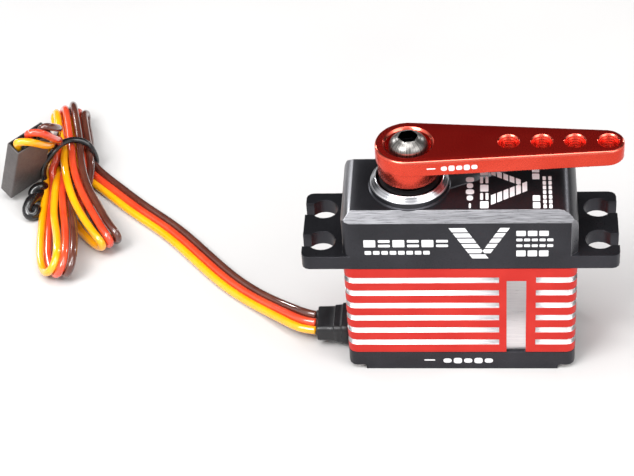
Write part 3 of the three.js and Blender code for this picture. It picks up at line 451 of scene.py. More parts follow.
# The hank: where each wire lies on the floor's plan, moved along the line of sight, and its height. at() puts it in place.
HANK = {
    "signal": [
        [-67.3, 40.0, 0.8], [-69.3, 42.6, 1.6], [-70.4, 45.5, 1.6], [-70.6, 48.6, 1.0], [-71.2, 51.5, 0.7], [-71.9, 54.3, 0.7],
        [-72.6, 56.8, 0.9], [-73.3, 58.6, 1.8], [-73.6, 59.4, 2.8], [-73.4, 58.8, 3.4], [-72.9, 56.8, 3.5], [-72.4, 55.0, 3.4],
        [-71.9, 53.2, 3.3], [-71.2, 50.6, 3.2], [-70.4, 47.2, 3.2], [-69.6, 43.5, 3.0], [-69.4, 40.0, 2.2], [-69.4, 36.5, 1.4],
        [-69.2, 33.0, 0.8], [-68.4, 29.6, 0.7], [-66.6, 26.4, 0.7], [-64.4, 23.4, 0.7], [-62.9, 21.6, 0.85], [-61.9, 20.8, 1.3],
        [-61.2, 20.7, 2.1], [-61.0, 21.3, 3.1], [-61.5, 22.3, 3.9], [-62.6, 23.6, 4.4], [-63.9, 25.4, 4.5], [-66.5, 29.8, 4.5],
        [-69.0, 34.9, 4.6], [-70.8, 40.2, 4.9], [-71.6, 43.3, 5.0], [-72.5, 46.7, 5.0], [-74.0, 52.9, 4.8], [-74.9, 56.6, 4.9],
        [-75.4, 58.9, 4.6], [-75.7, 59.9, 3.7], [-75.7, 59.6, 2.7], [-75.4, 57.8, 2.0], [-74.9, 55.4, 1.9], [-74.3, 52.4, 1.9],
        [-73.6, 49.2, 2.0], [-73.0, 46.4, 2.3], [-72.5, 43.4, 2.7], [-72.1, 40.0, 3.0], [-72.0, 35.0, 3.2], [-71.4, 29.8, 3.7],
        [-70.0, 24.8, 4.3], [-69.2, 19.9, 4.6], [-68.9, 17.0, 4.1], [-68.95, 15.2, 3.1], [-69.3, 14.1, 2.0], [-69.9, 13.8, 1.2],
        [-70.8, 15.0, 0.75], [-71.5, 17.0, 0.68], [-72.1, 19.9, 0.68], [-72.9, 26.5, 0.68], [-73.5, 33.2, 0.75],
        [-73.8, 38.0, 1.4], [-73.8, 41.6, 2.4],
    ],
    "power": [
        [-66.3, 41.2, 0.8], [-68.2, 43.5, 1.6], [-69.1, 46.2, 1.5], [-69.3, 49.0, 0.9], [-69.9, 51.9, 0.7], [-70.6, 54.7, 0.7],
        [-71.3, 57.2, 0.9], [-72.0, 58.9, 1.8], [-72.3, 59.7, 2.8], [-72.1, 59.1, 3.5], [-71.7, 57.2, 3.7], [-71.2, 55.3, 3.6],
        [-70.6, 53.5, 3.5], [-70.0, 50.9, 3.4], [-69.2, 47.5, 3.3], [-68.4, 43.8, 3.1], [-68.1, 40.3, 2.3], [-67.9, 37.0, 1.4],
        [-67.5, 33.6, 0.8], [-66.6, 30.2, 0.7], [-65.1, 27.3, 0.7], [-63.1, 24.2, 0.7], [-61.7, 22.4, 0.85], [-60.7, 21.6, 1.3],
        [-60.0, 21.5, 2.1], [-59.8, 22.1, 3.1], [-60.3, 23.1, 3.9], [-61.4, 24.5, 4.4], [-62.8, 27.0, 4.5], [-65.2, 31.5, 4.5],
        [-67.7, 36.6, 4.6], [-69.7, 41.9, 4.9], [-70.5, 45.2, 5.0], [-71.5, 49.2, 5.0], [-72.7, 54.8, 4.9], [-73.5, 58.0, 5.0],
        [-74.0, 60.2, 4.7], [-74.3, 61.2, 3.8], [-74.3, 60.9, 2.8], [-74.0, 59.1, 2.1], [-73.5, 56.5, 1.9], [-72.9, 53.2, 1.9],
        [-72.2, 49.8, 2.0], [-71.7, 46.8, 2.2], [-71.3, 43.6, 2.5], [-71.1, 39.4, 2.8], [-70.7, 34.9, 3.2], [-69.6, 29.8, 3.7],
        [-68.5, 24.8, 4.3], [-67.9, 20.1, 4.6], [-67.6, 16.8, 4.1], [-67.7, 15.0, 3.1], [-68.0, 13.9, 2.0], [-68.6, 13.6, 1.2],
        [-69.5, 14.9, 0.75], [-70.2, 16.9, 0.68], [-70.8, 19.9, 0.68], [-71.6, 26.5, 0.68], [-72.2, 33.0, 0.75],
        [-72.5, 37.6, 1.3], [-72.7, 41.4, 2.2],
    ],
    "ground": [
        [-65.3, 42.3, 0.8], [-67.1, 44.4, 1.6], [-67.6, 46.8, 1.4], [-67.6, 49.4, 0.8], [-68.3, 52.2, 0.7], [-69.2, 55.1, 0.7],
        [-70.0, 57.6, 0.9], [-70.7, 59.2, 1.8], [-71.0, 60.0, 2.8], [-70.8, 59.5, 3.6], [-70.4, 57.7, 3.8], [-69.8, 55.6, 3.7],
        [-69.3, 53.8, 3.6], [-68.7, 51.2, 3.5], [-67.9, 47.8, 3.4], [-67.2, 44.1, 3.1], [-66.9, 40.6, 2.3], [-66.5, 37.4, 1.4],
        [-65.9, 34.2, 0.8], [-65.1, 30.9, 0.7], [-63.7, 28.1, 0.7], [-61.9, 25.2, 0.7], [-60.5, 23.4, 0.85], [-59.5, 22.6, 1.3],
        [-58.8, 22.5, 2.1], [-58.6, 23.1, 3.1], [-59.0, 24.1, 3.9], [-60.1, 25.6, 4.4], [-61.6, 27.7, 4.5], [-64.0, 32.5, 4.5],
        [-66.5, 37.3, 4.6], [-68.5, 43.0, 4.9], [-69.2, 46.4, 5.0], [-70.0, 50.6, 5.0], [-71.4, 56.2, 4.9], [-72.2, 59.2, 5.0],
        [-72.7, 61.3, 4.7], [-73.0, 62.2, 3.8], [-73.0, 61.9, 2.9], [-72.7, 60.1, 2.2], [-72.2, 57.4, 2.0], [-71.6, 54.0, 1.9],
        [-70.9, 50.3, 2.0], [-70.4, 47.2, 2.2], [-70.1, 43.8, 2.4], [-69.9, 39.8, 2.7], [-69.2, 34.4, 3.1], [-68.1, 29.8, 3.6],
        [-67.1, 25.0, 4.3], [-66.5, 20.6, 4.6], [-66.2, 17.0, 4.1], [-66.3, 15.0, 3.1], [-66.6, 13.8, 2.0], [-67.2, 13.5, 1.2],
        [-68.1, 14.8, 0.75], [-68.8, 16.8, 0.68], [-69.5, 19.9, 0.68], [-70.3, 26.5, 0.68], [-70.9, 33.0, 0.75],
        [-71.3, 37.6, 1.2], [-71.6, 41.6, 2.0],
    ],
}
# From the hank's left run up to the plug's wire end, in place.
TAIL = {
    "signal": [
        [-73.2, 41.2, 3.0], [-73.0, 42.2, 4.6], [-72.7, 42.2, 6.6], [-72.3, 41.0, 8.3], [-71.8, 39.2, 9.3], [-71.6, 37.3, 10.2],
        [-71.9, 35.4, 11.6], [-72.5, 33.6, 13.4], [-73.6, 32.1, 15.2], [-74.9, 31.5, 16.0], [-75.8, 31.8, 15.4], [-76.1, 32.4, 14.0],
        [-76.4, 32.75, 12.7],
    ],
    "power": [
        [-72.2, 41.4, 2.8], [-72.1, 42.6, 4.6], [-71.6, 42.7, 6.6], [-71.1, 41.6, 8.4], [-70.6, 39.8, 9.6], [-70.4, 37.9, 10.8],
        [-70.7, 36.2, 12.6], [-71.4, 34.8, 14.6], [-72.5, 33.9, 16.1], [-73.6, 33.7, 16.4], [-74.3, 34.0, 15.5], [-74.5, 34.4, 14.0],
        [-74.75, 34.7, 12.8],
    ],
    "ground": [
        [-71.6, 42.0, 2.6], [-72.3, 43.4, 4.2], [-72.4, 44.2, 6.2], [-72.0, 44.0, 8.2], [-71.3, 42.8, 9.8], [-70.6, 41.2, 11.0],
        [-70.2, 39.6, 12.2], [-70.2, 38.1, 13.5], [-70.8, 36.9, 14.8], [-71.6, 36.3, 15.4], [-72.3, 36.2, 15.1], [-72.8, 36.45, 14.2],
        [-73.0, 36.6, 13.4], [-73.1, 36.75, 12.8],
    ],
}
ORDER = {"ground": 1, "power": 0, "signal": -1}


def at(p):
    """Moves a point of the plan along the line of sight to its height."""
    return [p[0] + 0.35 * (p[2] - 0.7), p[1] - 1.256 * (p[2] - 0.7), p[2]]


def wire_route(name):
    k, out = ORDER[name], []
    for i, (x, y, z, tilt) in enumerate(LEAD[:-1]):
        a, b = LEAD[max(i - 1, 0)], LEAD[min(i + 1, len(LEAD) - 1)]
        d = unit([b[0] - a[0], b[1] - a[1]])
        t = math.radians(tilt)
        out.append(
            [
                x + k * PITCH * d[1] * math.cos(t),
                y - k * PITCH * d[0] * math.cos(t),
                z + k * PITCH * math.sin(t),
            ]
        )
    out[0][0] = LEAD[0][0]
    return out + [at(p) for p in HANK[name]] + TAIL[name]


def over_tie(x):
    """How far the wires are lifted where the tie passes under them."""
    off = np.abs(-0.586 * (x[:, 0] + 73.2) + 0.81 * (x[:, 1] - 38.4))
    across = 0.81 * (x[:, 0] + 73.2) + 0.586 * (x[:, 1] - 38.4)
    return 0.6 * np.clip(1.35 - off / 1.6, 0, 1) * ((across > -0.5) & (across < 9.5))


def settle(routes, step=0.65, rounds=260):
    """Lets the wires push each other apart, keeps them above the floor and lifts them where the tie passes under, while
    each keeps near its route and stays smooth.
    """
    lines = [resample(spline(r, 10), step) for r in routes]
    sizes = [len(p) for p in lines]
    x = np.concatenate(lines)
    goal = x.copy()
    wire = np.concatenate([np.full(n, i) for i, n in enumerate(sizes)])
    index = np.concatenate([np.arange(n) for n in sizes])
    starts = np.concatenate([[0], np.cumsum(sizes)[:-1]])
    fixed = np.zeros(len(x), bool)
    for s, n in zip(starts, sizes):
        fixed[s : s + 6] = True
        fixed[s + n - 5 : s + n] = True
    inner = np.array([i for i in range(len(x)) if 0 < index[i] < sizes[wire[i]] - 1])
    need = WIRE_D + 0.02
    n_all = len(x)
    ia, ib = np.triu_indices(n_all, 1)
    far = (wire[ia] != wire[ib]) | (np.abs(index[ia] - index[ib]) > 5)
    ia, ib = ia[far], ib[far]
    for r in range(rounds):
        hold = 0.10 * (1 - r / rounds) + 0.012
        x += (goal - x) * hold * (~fixed)[:, None]
        mid = (x[inner - 1] + x[inner + 1]) / 2
        x[inner] += 0.35 * (mid - x[inner]) * (~fixed[inner])[:, None]
        if r % 10 == 0:
            d = x[ia] - x[ib]
            near = (d * d).sum(1) < (need + 1.2) ** 2
            ja, jb = ia[near], ib[near]
        for _ in range(2):
            d = x[ja] - x[jb]
            dist = np.linalg.norm(d, axis=1)
            hit = dist < need
            if hit.any():
                push = (d[hit] / np.maximum(dist[hit], 1e-6)[:, None]) * ((need - dist[hit]) * 0.25)[:, None]
                np.add.at(x, ja[hit], push * (~fixed[ja[hit]])[:, None])
                np.add.at(x, jb[hit], -push * (~fixed[jb[hit]])[:, None])
            x[:, 2] = np.maximum(x[:, 2], WIRE_D / 2 + 0.01 + over_tie(x))
        for s, n in zip(starts, sizes):
            seg = x[s + 1 : s + n] - x[s : s + n - 1]
            length = np.linalg.norm(seg, axis=1)
            corr = seg * ((length - step) / np.maximum(length, 1e-6) * 0.12)[:, None]
            move = np.zeros((n, 3))
            move[:-1] += corr
            move[1:] -= corr
            x[s : s + n] += move * (~fixed[s : s + n])[:, None]
    worst = 0.0
    d = x[ja] - x[jb]
    dist = np.linalg.norm(d, axis=1)
    print("settled: points", n_all, "closest", round(float(dist.min()), 3), "pairs under 1.2:", int((dist < 1.2).sum()))
    return [x[s : s + n] for s, n in zip(starts, sizes)]


names = ["ground", "power", "signal"]
lines = settle([wire_route(n) for n in names])
wires = {}
for n, line in zip(names, lines):
    fine = resample(spline(line[::2] if len(line) % 2 else np.vstack([line[::2], line[-1:]]), 5), 0.28) * MM
    wires[n] = (fine, tube("wire_" + n + "_insulation", fine, WIRE_D / 2 * MM, 18))
    print(n, "length mm", round(float(np.linalg.norm(np.diff(fine, axis=0), axis=1).sum()) * 1000, 1))

# ---------------------------------------------------------------- mesh helpers for the pieces
def object_from(name, bm, mats, angle=33.0):
    me = bpy.data.meshes.new(name)
    bm.to_mesh(me)
    bm.free()
    for m in mats:
        me.materials.append(m)
    me.polygons.foreach_set("use_smooth", [True] * len(me.polygons))
    me.set_sharp_from_angle(angle=math.radians(angle))
    return link(bpy.data.objects.new(name, me))


def lathe(bm, prof, centre=(AX_MM, 0), seg=72, bands=None, closed=False):
    """Turns (r, z) points in mm round a vertical axis; bands gives each band's material index."""
    rings = []
    for r, z in prof:
        rings.append(
            [
                bm.verts.new(((centre[0] + r * math.cos(2 * math.pi * k / seg)) * MM, (centre[1] + r * math.sin(2 * math.pi * k / seg)) * MM, z * MM))
                for k in range(seg)
            ]
        )
    n = len(prof) if closed else len(prof) - 1
    faces = []
    for i in range(n):
        a, b = rings[i], rings[(i + 1) % len(prof)]
        for k in range(seg):
            f = bm.faces.new((a[k], a[(k + 1) % seg], b[(k + 1) % seg], b[k]))
            f.material_index = bands[i] if bands else 0
            faces.append(f)
    bmesh.ops.remove_doubles(bm, verts=[v for r in rings for v in r], dist=1e-7)
    return faces


def stack(bm, loops, bands=None, cap=(0, 0)):
    """Joins closed loops of points in mm that have the same count, and closes both ends."""
    rows = [[bm.verts.new([c * MM for c in p]) for p in loop] for loop in loops]
    n = len(rows[0])
    for i in range(len(rows) - 1):
        for k in range(n):
            f = bm.faces.new((rows[i][k], rows[i][(k + 1) % n], rows[i + 1][(k + 1) % n], rows[i + 1][k]))
            f.material_index = bands[i] if bands else 0
    bm.faces.new(rows[0][::-1]).material_index = cap[0]
    bm.faces.new(rows[-1]).material_index = cap[1]


def tidy(bm):
    bmesh.ops.recalc_face_normals(bm, faces=bm.faces)
    return bm


def carve(base, tools, op="DIFFERENCE", angle=33.0):
    """Cuts or joins tools, with their materials carried over, and removes them."""
    for t in tools:
        m = base.modifiers.new("cut", "BOOLEAN")
        m.operation, m.object, m.solver, m.material_mode = op, t, "EXACT", "TRANSFER"
    dg = bpy.context.evaluated_depsgraph_get()
    me = bpy.data.meshes.new_from_object(base.evaluated_get(dg))
    base.modifiers.clear()
    base.data = me
    for t in tools:
        bpy.data.objects.remove(t)
    me.polygons.foreach_set("use_smooth", [True] * len(me.polygons))
    me.set_sharp_from_angle(angle=math.radians(angle))
    return base


def place(o, body, slot, *replaced):
    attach(o, body)
    if replaced:
        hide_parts(*replaced)
    return o


def rounded_distance(x, y, hx, hy, r):
    qx, qy = max(abs(x) - hx + r, 0.0), max(abs(y) - hy + r, 0.0)
    return math.hypot(qx, qy) - r + min(max(abs(x) - hx + r, abs(y) - hy + r), 0.0)


def skin(name, node, mats, pick, body="case"):
    """A case shell with the solid's exact shape: flat faces joined up, each finished by where it is."""
    bm = bmesh.new()
    bm.from_mesh(nodes[node].data)
    bmesh.ops.remove_doubles(bm, verts=bm.verts, dist=2e-6)
    bm.normal_update()
    for f in bm.faces:
        f.material_index = pick(f.calc_center_median() / MM, f.normal)
    bmesh.ops.dissolve_limit(
        bm, angle_limit=math.radians(0.8), verts=bm.verts, edges=bm.edges, use_dissolve_boundaries=False, delimit={"MATERIAL"}
    )
    return place(object_from(name, bm, mats, 32.0), body, SLOT_OF[node], node)



# ---------------------------------------------------------------- the plug
PLUG_FOOT = np.array([-78.24, 37.99, 1.37])
P_W, P_B, P_U = unit([0.65, 0.76, 0.02]), unit([-0.71, 0.59, 0.38]), unit([0.28, -0.26, 0.92])


def on_plug(a, b, c):
    return tuple(PLUG_FOOT + P_W * a + P_B * b + P_U * c)


def plug_loop(inset, c, r=0.3, ha=3.85, hb=1.45, n=5):
    ha, hb = ha - inset, hb - inset
    out = []
    for sa, sb, a0 in ((1, 1, 0), (-1, 1, 90), (-1, -1, 180), (1, -1, 270)):
        for k in range(n + 1):
            q = math.radians(a0 + 90 * k / n)
            out.append(on_plug(sa * (ha - r) + r * math.cos(q), sb * (hb - r) + r * math.sin(q), c))
    return out


# the top rim, the recess wall and the recess floor get the near-black painted shade material
bm = bmesh.new()
stack(
    bm,
    [
        plug_loop(0.22, 0.0, 0.12), plug_loop(0.07, 0.05, 0.22), plug_loop(0.0, 0.22),
        plug_loop(0.0, 13.8), plug_loop(0.05, 13.94, 0.26), plug_loop(0.16, 14.0, 0.2), plug_loop(0.34, 14.0, 0.14), plug_loop(0.42, 13.92, 0.12), plug_loop(0.44, 12.2, 0.12),
    ],
    bands=[0] * 5 + [1, 1, 1],
    cap=(0, 1),
)
PLUG_MATS = [M["plug_plastic"], M["plug_inside_painted_shade"]]
plug = object_from("plug_body", tidy(bm), PLUG_MATS, 40.0)
tools = []
# the contact cavities cut here are lined with the near-black painted shade material
for k in (-1, 0, 1):
    b = bmesh.new()
    stack(b, [[on_plug(2.54 * k + x, y, c) for x, y in ((-0.72, -0.72), (0.72, -0.72), (0.72, 0.72), (-0.72, 0.72))] for c in (-1.0, 8.5)], [1], (1, 1))
    tools.append(object_from("tool", tidy(b), PLUG_MATS))
    b = bmesh.new()
    stack(b, [[on_plug(2.54 * k + x, y, c) for x, y in ((-1.0, -0.85), (1.0, -0.85), (1.0, 0.85), (-1.0, 0.85))] for c in (10.6, 12.6)], [1], (1, 1))
    tools.append(object_from("tool", tidy(b), PLUG_MATS))
    b = bmesh.new()
    stack(b, [[on_plug(2.54 * k + x, y, c) for x, c in ((-0.55, 6.1), (0.55, 6.1), (0.55, 8.0), (-0.55, 8.0))] for y in (1.1, 2.0)], [1], (1, 1))
    tools.append(object_from("tool", tidy(b), PLUG_MATS))
carve(plug, tools, angle=40.0)
place(plug, "case", SLOT_OF["plug_housing"], "plug_housing")

# ---------------------------------------------------------------- the twist tie
RING = [
    [-73.54, 37.39, 1.0], [-74.05, 37.9, 2.0], [-74.18, 38.25, 3.3], [-73.8, 38.7, 4.8], [-72.95, 39.2, 6.0], [-72.12, 40.04, 6.75],
    [-71.21, 41.55, 7.0], [-70.1, 42.94, 6.8], [-68.93, 43.72, 6.4], [-67.68, 43.98, 5.9], [-66.65, 43.9, 5.1], [-66.01, 43.74, 3.8],
    [-65.77, 43.83, 2.3], [-65.9, 43.7, 1.0], [-67.2, 43.0, 0.36], [-69.5, 41.6, 0.33], [-71.8, 39.8, 0.33], [-73.1, 38.2, 0.4],
]
CURL_A = [
    [-73.3, 38.2, 1.1], [-73.62, 37.1, 1.25], [-73.5, 36.1, 1.75], [-74.0, 35.6, 2.15], [-74.75, 35.3, 1.95], [-75.25, 34.7, 1.4],
    [-74.85, 34.1, 0.95], [-74.05, 34.1, 0.95], [-73.75, 34.7, 1.3],
]
CURL_B = [
    [-73.2, 37.8, 0.85], [-73.5, 36.3, 0.85], [-73.8, 34.9, 1.0], [-74.3, 33.6, 1.5], [-74.75, 32.2, 2.15], [-75.2, 31.0, 2.05],
    [-75.4, 29.9, 1.45], [-74.9, 29.2, 0.95], [-74.15, 29.5, 0.9], [-73.95, 30.4, 1.2], [-74.1, 31.3, 1.45],
]
loop = np.array(RING[-3:] + RING + RING[:3])
ring_line = spline(loop, 10)[30:-20]
ring_line = resample(ring_line, 0.3) * MM
tie = tube("tie_loop", ring_line, (0.31 + 0.25 * np.clip((ring_line[:, 2] / MM - 0.35) / 0.6, 0, 1)) * MM, 16)
for name_, pts, r0 in (("a", CURL_A, 0.84), ("b", CURL_B, 0.92)):
    line = resample(spline([[x - 0.55, y + 0.1, z + 0.12] for x, y, z in pts], 10), 0.22) * MM
    u = np.linspace(0, 1, len(line))
    radius = r0 * MM * np.sqrt(np.clip(1 - (2 * np.clip(u - 0.93, 0, 1) / 0.15) ** 2, 0.1, 1)) * (0.86 + 0.14 * np.clip(u * 5, 0, 1))
    part = tube("curl_" + name_, line, radius, 18)
    b = bmesh.new()
    b.from_mesh(tie.data)
    b.from_mesh(part.data)
    b.to_mesh(tie.data)
    b.free()
    bpy.data.objects.remove(part)
dress(tie, M["tie_coating"])
place(tie, "case", SLOT_OF["lead_tie"], "lead_tie")
dress(wires["ground"][1], M["brown_insulation"])
dress(wires["power"][1], M["red_insulation"])
dress(wires["signal"][1], M["yellow_insulation"])
for n, (fine, o) in wires.items():
    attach(o, "case")
    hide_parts("wire_" + n, "lead_hank", "lead_tail")

# ---------------------------------------------------------------- the three case parts
HX, HY, TOP_Z = 17.75, 7.6, 31.47


def pick_top(c, n):
    r = math.hypot(c.x - AX_MM, c.y)
    if c.z > 31.5 and r < 6.3:
        if r < 5.12 or n.z > 0.95:
            return 0
        return 2 if n.z > 0.2 else 0
    if c.z > 28.0 and abs(n.y) > 0.4 and n.z > 0.4:
        return 1
    if c.z > 29.5 and n.x < -0.4 and n.z > 0.4:
        return 1
    if c.z > 23.6 and c.x > 15 and abs(n.y) > 0.4 and n.x > 0.4:
        return 1
    return 0


def pick_middle(c, n):
    if c.z > 20.9 or c.z < 3.7:
        return 0
    return 0 if rounded_distance(c.x, c.y, HX, HY, 1.4) > -0.12 and abs(n.z) < 0.5 else 1


skin("top_case_shell", "top_case", [M["black_anodised"], M["bright_cut"], M["boss_ring"]], pick_top)
skin("middle_case_shell", "middle_case", [M["red_anodised"], M["groove_metal"]], pick_middle)
skin("bottom_cover_shell", "bottom_cover", [M["black_anodised"]], lambda c, n: 0)

# the turned collar round the output bearing, with its bright edge, and the bearing's seal
bm = bmesh.new()
lathe(
    bm,
    [(5.3, 31.3), (6.28, 31.3), (6.26, 31.5), (6.16, 31.56), (6.03, 31.62), (6.0, 31.72), (6.0, 32.3), (5.97, 32.38), (5.9, 32.46), (5.24, 33.13), (5.16, 33.2), (5.08, 33.22), (5.02, 33.16), (5.0, 33.0), (5.0, 32.2), (5.3, 32.0)],
    seg=96,
    bands=[0, 0, 0, 0, 0, 0, 0, 1, 1, 1, 1, 0, 0, 0, 0, 0],
    closed=True,
)
place(object_from("boss_collar", tidy(bm), [M["black_anodised"], M["boss_ring"]], 40.0), "case", SLOT_OF["top_case"])
# the seal's inner and outer steel races take the near-black painted shade material
bm = bmesh.new()
lathe(
    bm,
    [(3.12, 32.97), (3.12, 33.04), (3.42, 33.05), (3.5, 32.99), (3.62, 32.99), (3.7, 33.03), (4.3, 33.04), (4.4, 33.0), (4.55, 33.0), (4.62, 33.06), (4.96, 33.06), (4.96, 32.97)],
    seg=80,
    bands=[1, 1, 1, 0, 0, 0, 0, 0, 1, 1, 1, 0],
    closed=True,
)
place(object_from("bearing_seal", tidy(bm), [M["black_rubber"], M["race_painted_shade"]], 40.0), "case", SLOT_OF["bearing_upper"])

# ---------------------------------------------------------------- the horn
END_R, TIP_R, REACH = 5.0, 2.75, 29.2


def horn_outline(inset, z, n0=64, n1=32):
    r0, r1 = END_R - inset, TIP_R - inset
    lean = math.asin((r0 - r1) / REACH)
    out = []
    for i in range(n0 + 1):
        a = math.pi / 2 - lean + i * (math.pi + 2 * lean) / n0
        out.append((AX_MM + r0 * math.cos(a), r0 * math.sin(a), z))
    for i in range(n1 + 1):
        a = -math.pi / 2 + lean + i * (math.pi - 2 * lean) / n1
        out.append((AX_MM + REACH + r1 * math.cos(a), r1 * math.sin(a), z))
    return out


# horn red on the top and bottom faces, the painted-light copy on the side walls, the painted-highlight copy on the
# chamfers
HORN_MATS = [M["horn_red"], M["horn_edge_painted_highlight"], M["horn_side_painted_light"]]
bm = bmesh.new()
stack(
    bm,
    [horn_outline(i, z) for i, z in ((0.36, 36.75), (0.16, 36.8), (0.0, 36.96), (0.0, 39.2), (0.06, 39.34), (0.17, 39.45), (0.34, 39.5))],
    bands=[1, 1, 2, 1, 1, 1],
)
horn = object_from("horn_arm", tidy(bm), HORN_MATS)


def tool(prof, centre, bands, seg=56):
    b = bmesh.new()
    lathe(b, prof, centre, seg, bands)
    return object_from("tool", tidy(b), HORN_MATS)


carve(horn, [tool([(0, 34.17), (4.42, 34.17), (4.6, 34.22), (4.7, 34.4), (4.7, 37.3), (0, 37.3)], (AX_MM, 0), [2, 1, 1, 2, 2], 96)], "UNION")
cuts = [
    tool([(0, 38.3), (3.46, 38.3), (3.46, 39.14), (3.58, 39.3), (3.85, 39.52), (3.85, 41), (0, 41)], (AX_MM, 0), [0, 2, 1, 1, 1, 0], 96),
    tool([(0, 33), (3.0, 33), (3.0, 37.1), (1.65, 37.1), (1.65, 39), (0, 39)], (AX_MM, 0), [0] * 5),
]
for d in (14.9, 19.8, 24.7, 29.6):
    cuts.append(tool([(0, 35), (1.72, 35), (1.72, 36.72), (1.4, 37.0), (1.4, 39.16), (1.46, 39.3), (1.72, 39.53), (1.72, 41), (0, 41)], (AX_MM + d, 0), [0, 0, 1, 2, 1, 1, 1, 0]))
carve(horn, cuts)
place(horn, "output", SLOT_OF["horn"], "horn")
bm = bmesh.new()
for d in (14.9, 19.8, 24.7, 29.6):
    prof = [(1.395, 36.98)]
    z = 37.0
    while z < 39.05:
        prof += [(1.37, z + 0.06), (1.14, z + 0.2), (1.14, z + 0.24), (1.37, z + 0.38)]
        z += 0.42
    prof += [(1.395, 39.14)]
    lathe(bm, prof, (AX_MM + d, 0), 48)
for f in bm.faces:
    f.normal_flip()
place(object_from("horn_threads", bm, [M["horn_side_painted_light"]], 60.0), "output", SLOT_OF["horn"])

# the button-head screw in the horn
bm = bmesh.new()
dome = [(2.93 * math.cos(a) ** 0.92, 38.95 + 1.8 * math.sin(a)) for a in np.linspace(0.0, 1.02, 12)]
lathe(bm, [(0, 38.34), (2.86, 38.34), (2.93, 38.44), *dome, (1.45, 40.66), (0, 40.68)], (AX_MM, 0), 96, None)
head = object_from("horn_screw_head", tidy(bm), [M["screw_steel"], M["screw_socket_painted_shade"]], 40.0)
# the hex socket's walls and floor get the near-black painted shade material
b = bmesh.new()
hexa = [(AX_MM + 1.5 * math.cos(math.radians(60 * k + 12)), 1.5 * math.sin(math.radians(60 * k + 12))) for k in range(6)]
flare = [(AX_MM + 1.62 * math.cos(math.radians(60 * k + 12)), 1.62 * math.sin(math.radians(60 * k + 12))) for k in range(6)]
stack(b, [[(x, y, 39.2) for x, y in hexa], [(x, y, 40.48) for x, y in hexa], [(x, y, 41.2) for x, y in flare]], [1, 1], (1, 1))
carve(head, [object_from("tool", tidy(b), [M["screw_steel"], M["screw_socket_painted_shade"]])], angle=40.0)
b = bmesh.new()
lathe(b, [(0, 31.5), (1.3, 31.5), (1.48, 31.7), (1.48, 38.5), (0, 38.5)], (AX_MM, 0), 40)
carve(head, [object_from("tool", tidy(b), [M["screw_steel"], M["screw_socket_painted_shade"]])], "UNION", 40.0)
place(head, "output", SLOT_OF["horn_screw"], "horn_screw")


# ---------------------------------------------------------------- grommet
def section(x, hy, hz, r, zc=2.7, n=8):
    out = []
    for sy, sz, a0 in ((1, 1, 0), (-1, 1, 90), (-1, -1, 180), (1, -1, 270)):
        for k in range(n + 1):
            a = math.radians(a0 + 90 * k / n)
            out.append((x, sy * (hy - r) + r * math.cos(a), zc + sz * (hz - r) + r * math.sin(a)))
    return out


bm = bmesh.new()
stack(
    bm,
    [
        section(*q)
        for q in (
            (-23.1, 2.62, 1.22, 0.5), (-23.04, 2.8, 1.38, 0.6), (-22.8, 2.88, 1.45, 0.7), (-21.6, 2.9, 1.47, 0.75), (-20.45, 2.93, 1.5, 0.75), (-20.36, 2.98, 1.56, 0.78),
            (-20.3, 3.06, 1.66, 0.8), (-19.6, 3.1, 1.7, 0.8), (-19.22, 3.12, 1.72, 0.8), (-19.14, 3.18, 1.8, 0.85), (-19.08, 3.3, 1.93, 0.9), (-18.6, 3.33, 1.95, 0.9),
            (-18.0, 3.33, 1.95, 0.9), (-17.86, 3.26, 1.88, 0.85), (-17.82, 2.5, 1.3, 0.6),
        )
    ],
)
grommet = object_from("grommet_body", tidy(bm), [M["black_rubber"]], 50.0)
place(grommet, "case", SLOT_OF["grommet"], "grommet")
bm = bmesh.new()
for n, (fine, o) in wires.items():
    p, d = fine[0] / MM, unit(fine[6] - fine[0])
    ring = []
    for k in range(28):
        a = 2 * math.pi * k / 28
        ring.append((math.cos(a), math.sin(a)))
    loops = []
    for x, r in ((-23.0, 0.78), (-23.22, 0.8), (-23.32, 0.76), (-23.34, 0.68)):
        loops.append([(x, p[1] + d[1] / d[0] * (x + 23.1) + r * ca, p[2] + r * sa) for ca, sa in ring])
    stack(bm, loops)
place(object_from("grommet_lips", tidy(bm), [M["black_rubber"]], 50.0), "case", SLOT_OF["grommet"])


# ---------------------------------------------------------------- printed marks, plain bars and stripes
def slab(bm, quad, n, thick=0.02):
    """A thin raised patch over a polygon (in mm), standing along n."""
    n = unit(n)
    lo = [bm.verts.new([(c - n[i] * 0.01) * MM for i, c in enumerate(p)]) for p in quad]
    hi = [bm.verts.new([(c + n[i] * thick) * MM for i, c in enumerate(p)]) for p in quad]
    k = len(quad)
    for i in range(k):
        bm.faces.new((lo[i], lo[(i + 1) % k], hi[(i + 1) % k], hi[i]))
    bm.faces.new(hi)
    bm.faces.new(lo[::-1])


def bar(u, v, w, h, r=0.14, shear=0.0):
    """A rounded bar in a mark's own plane."""
    r = min(r, w / 2 - 0.01, h / 2 - 0.01)
    out = []
    for sx, sy, a0 in ((1, 1, 0), (-1, 1, 90), (-1, -1, 180), (1, -1, 270)):
        for k in range(4):
            a = math.radians(a0 + 30 * k)
            x, y = sx * (w / 2 - r) + r * math.cos(a), sy * (h / 2 - r) + r * math.sin(a)
            out.append((u + x + shear * y, v + y))
    return out


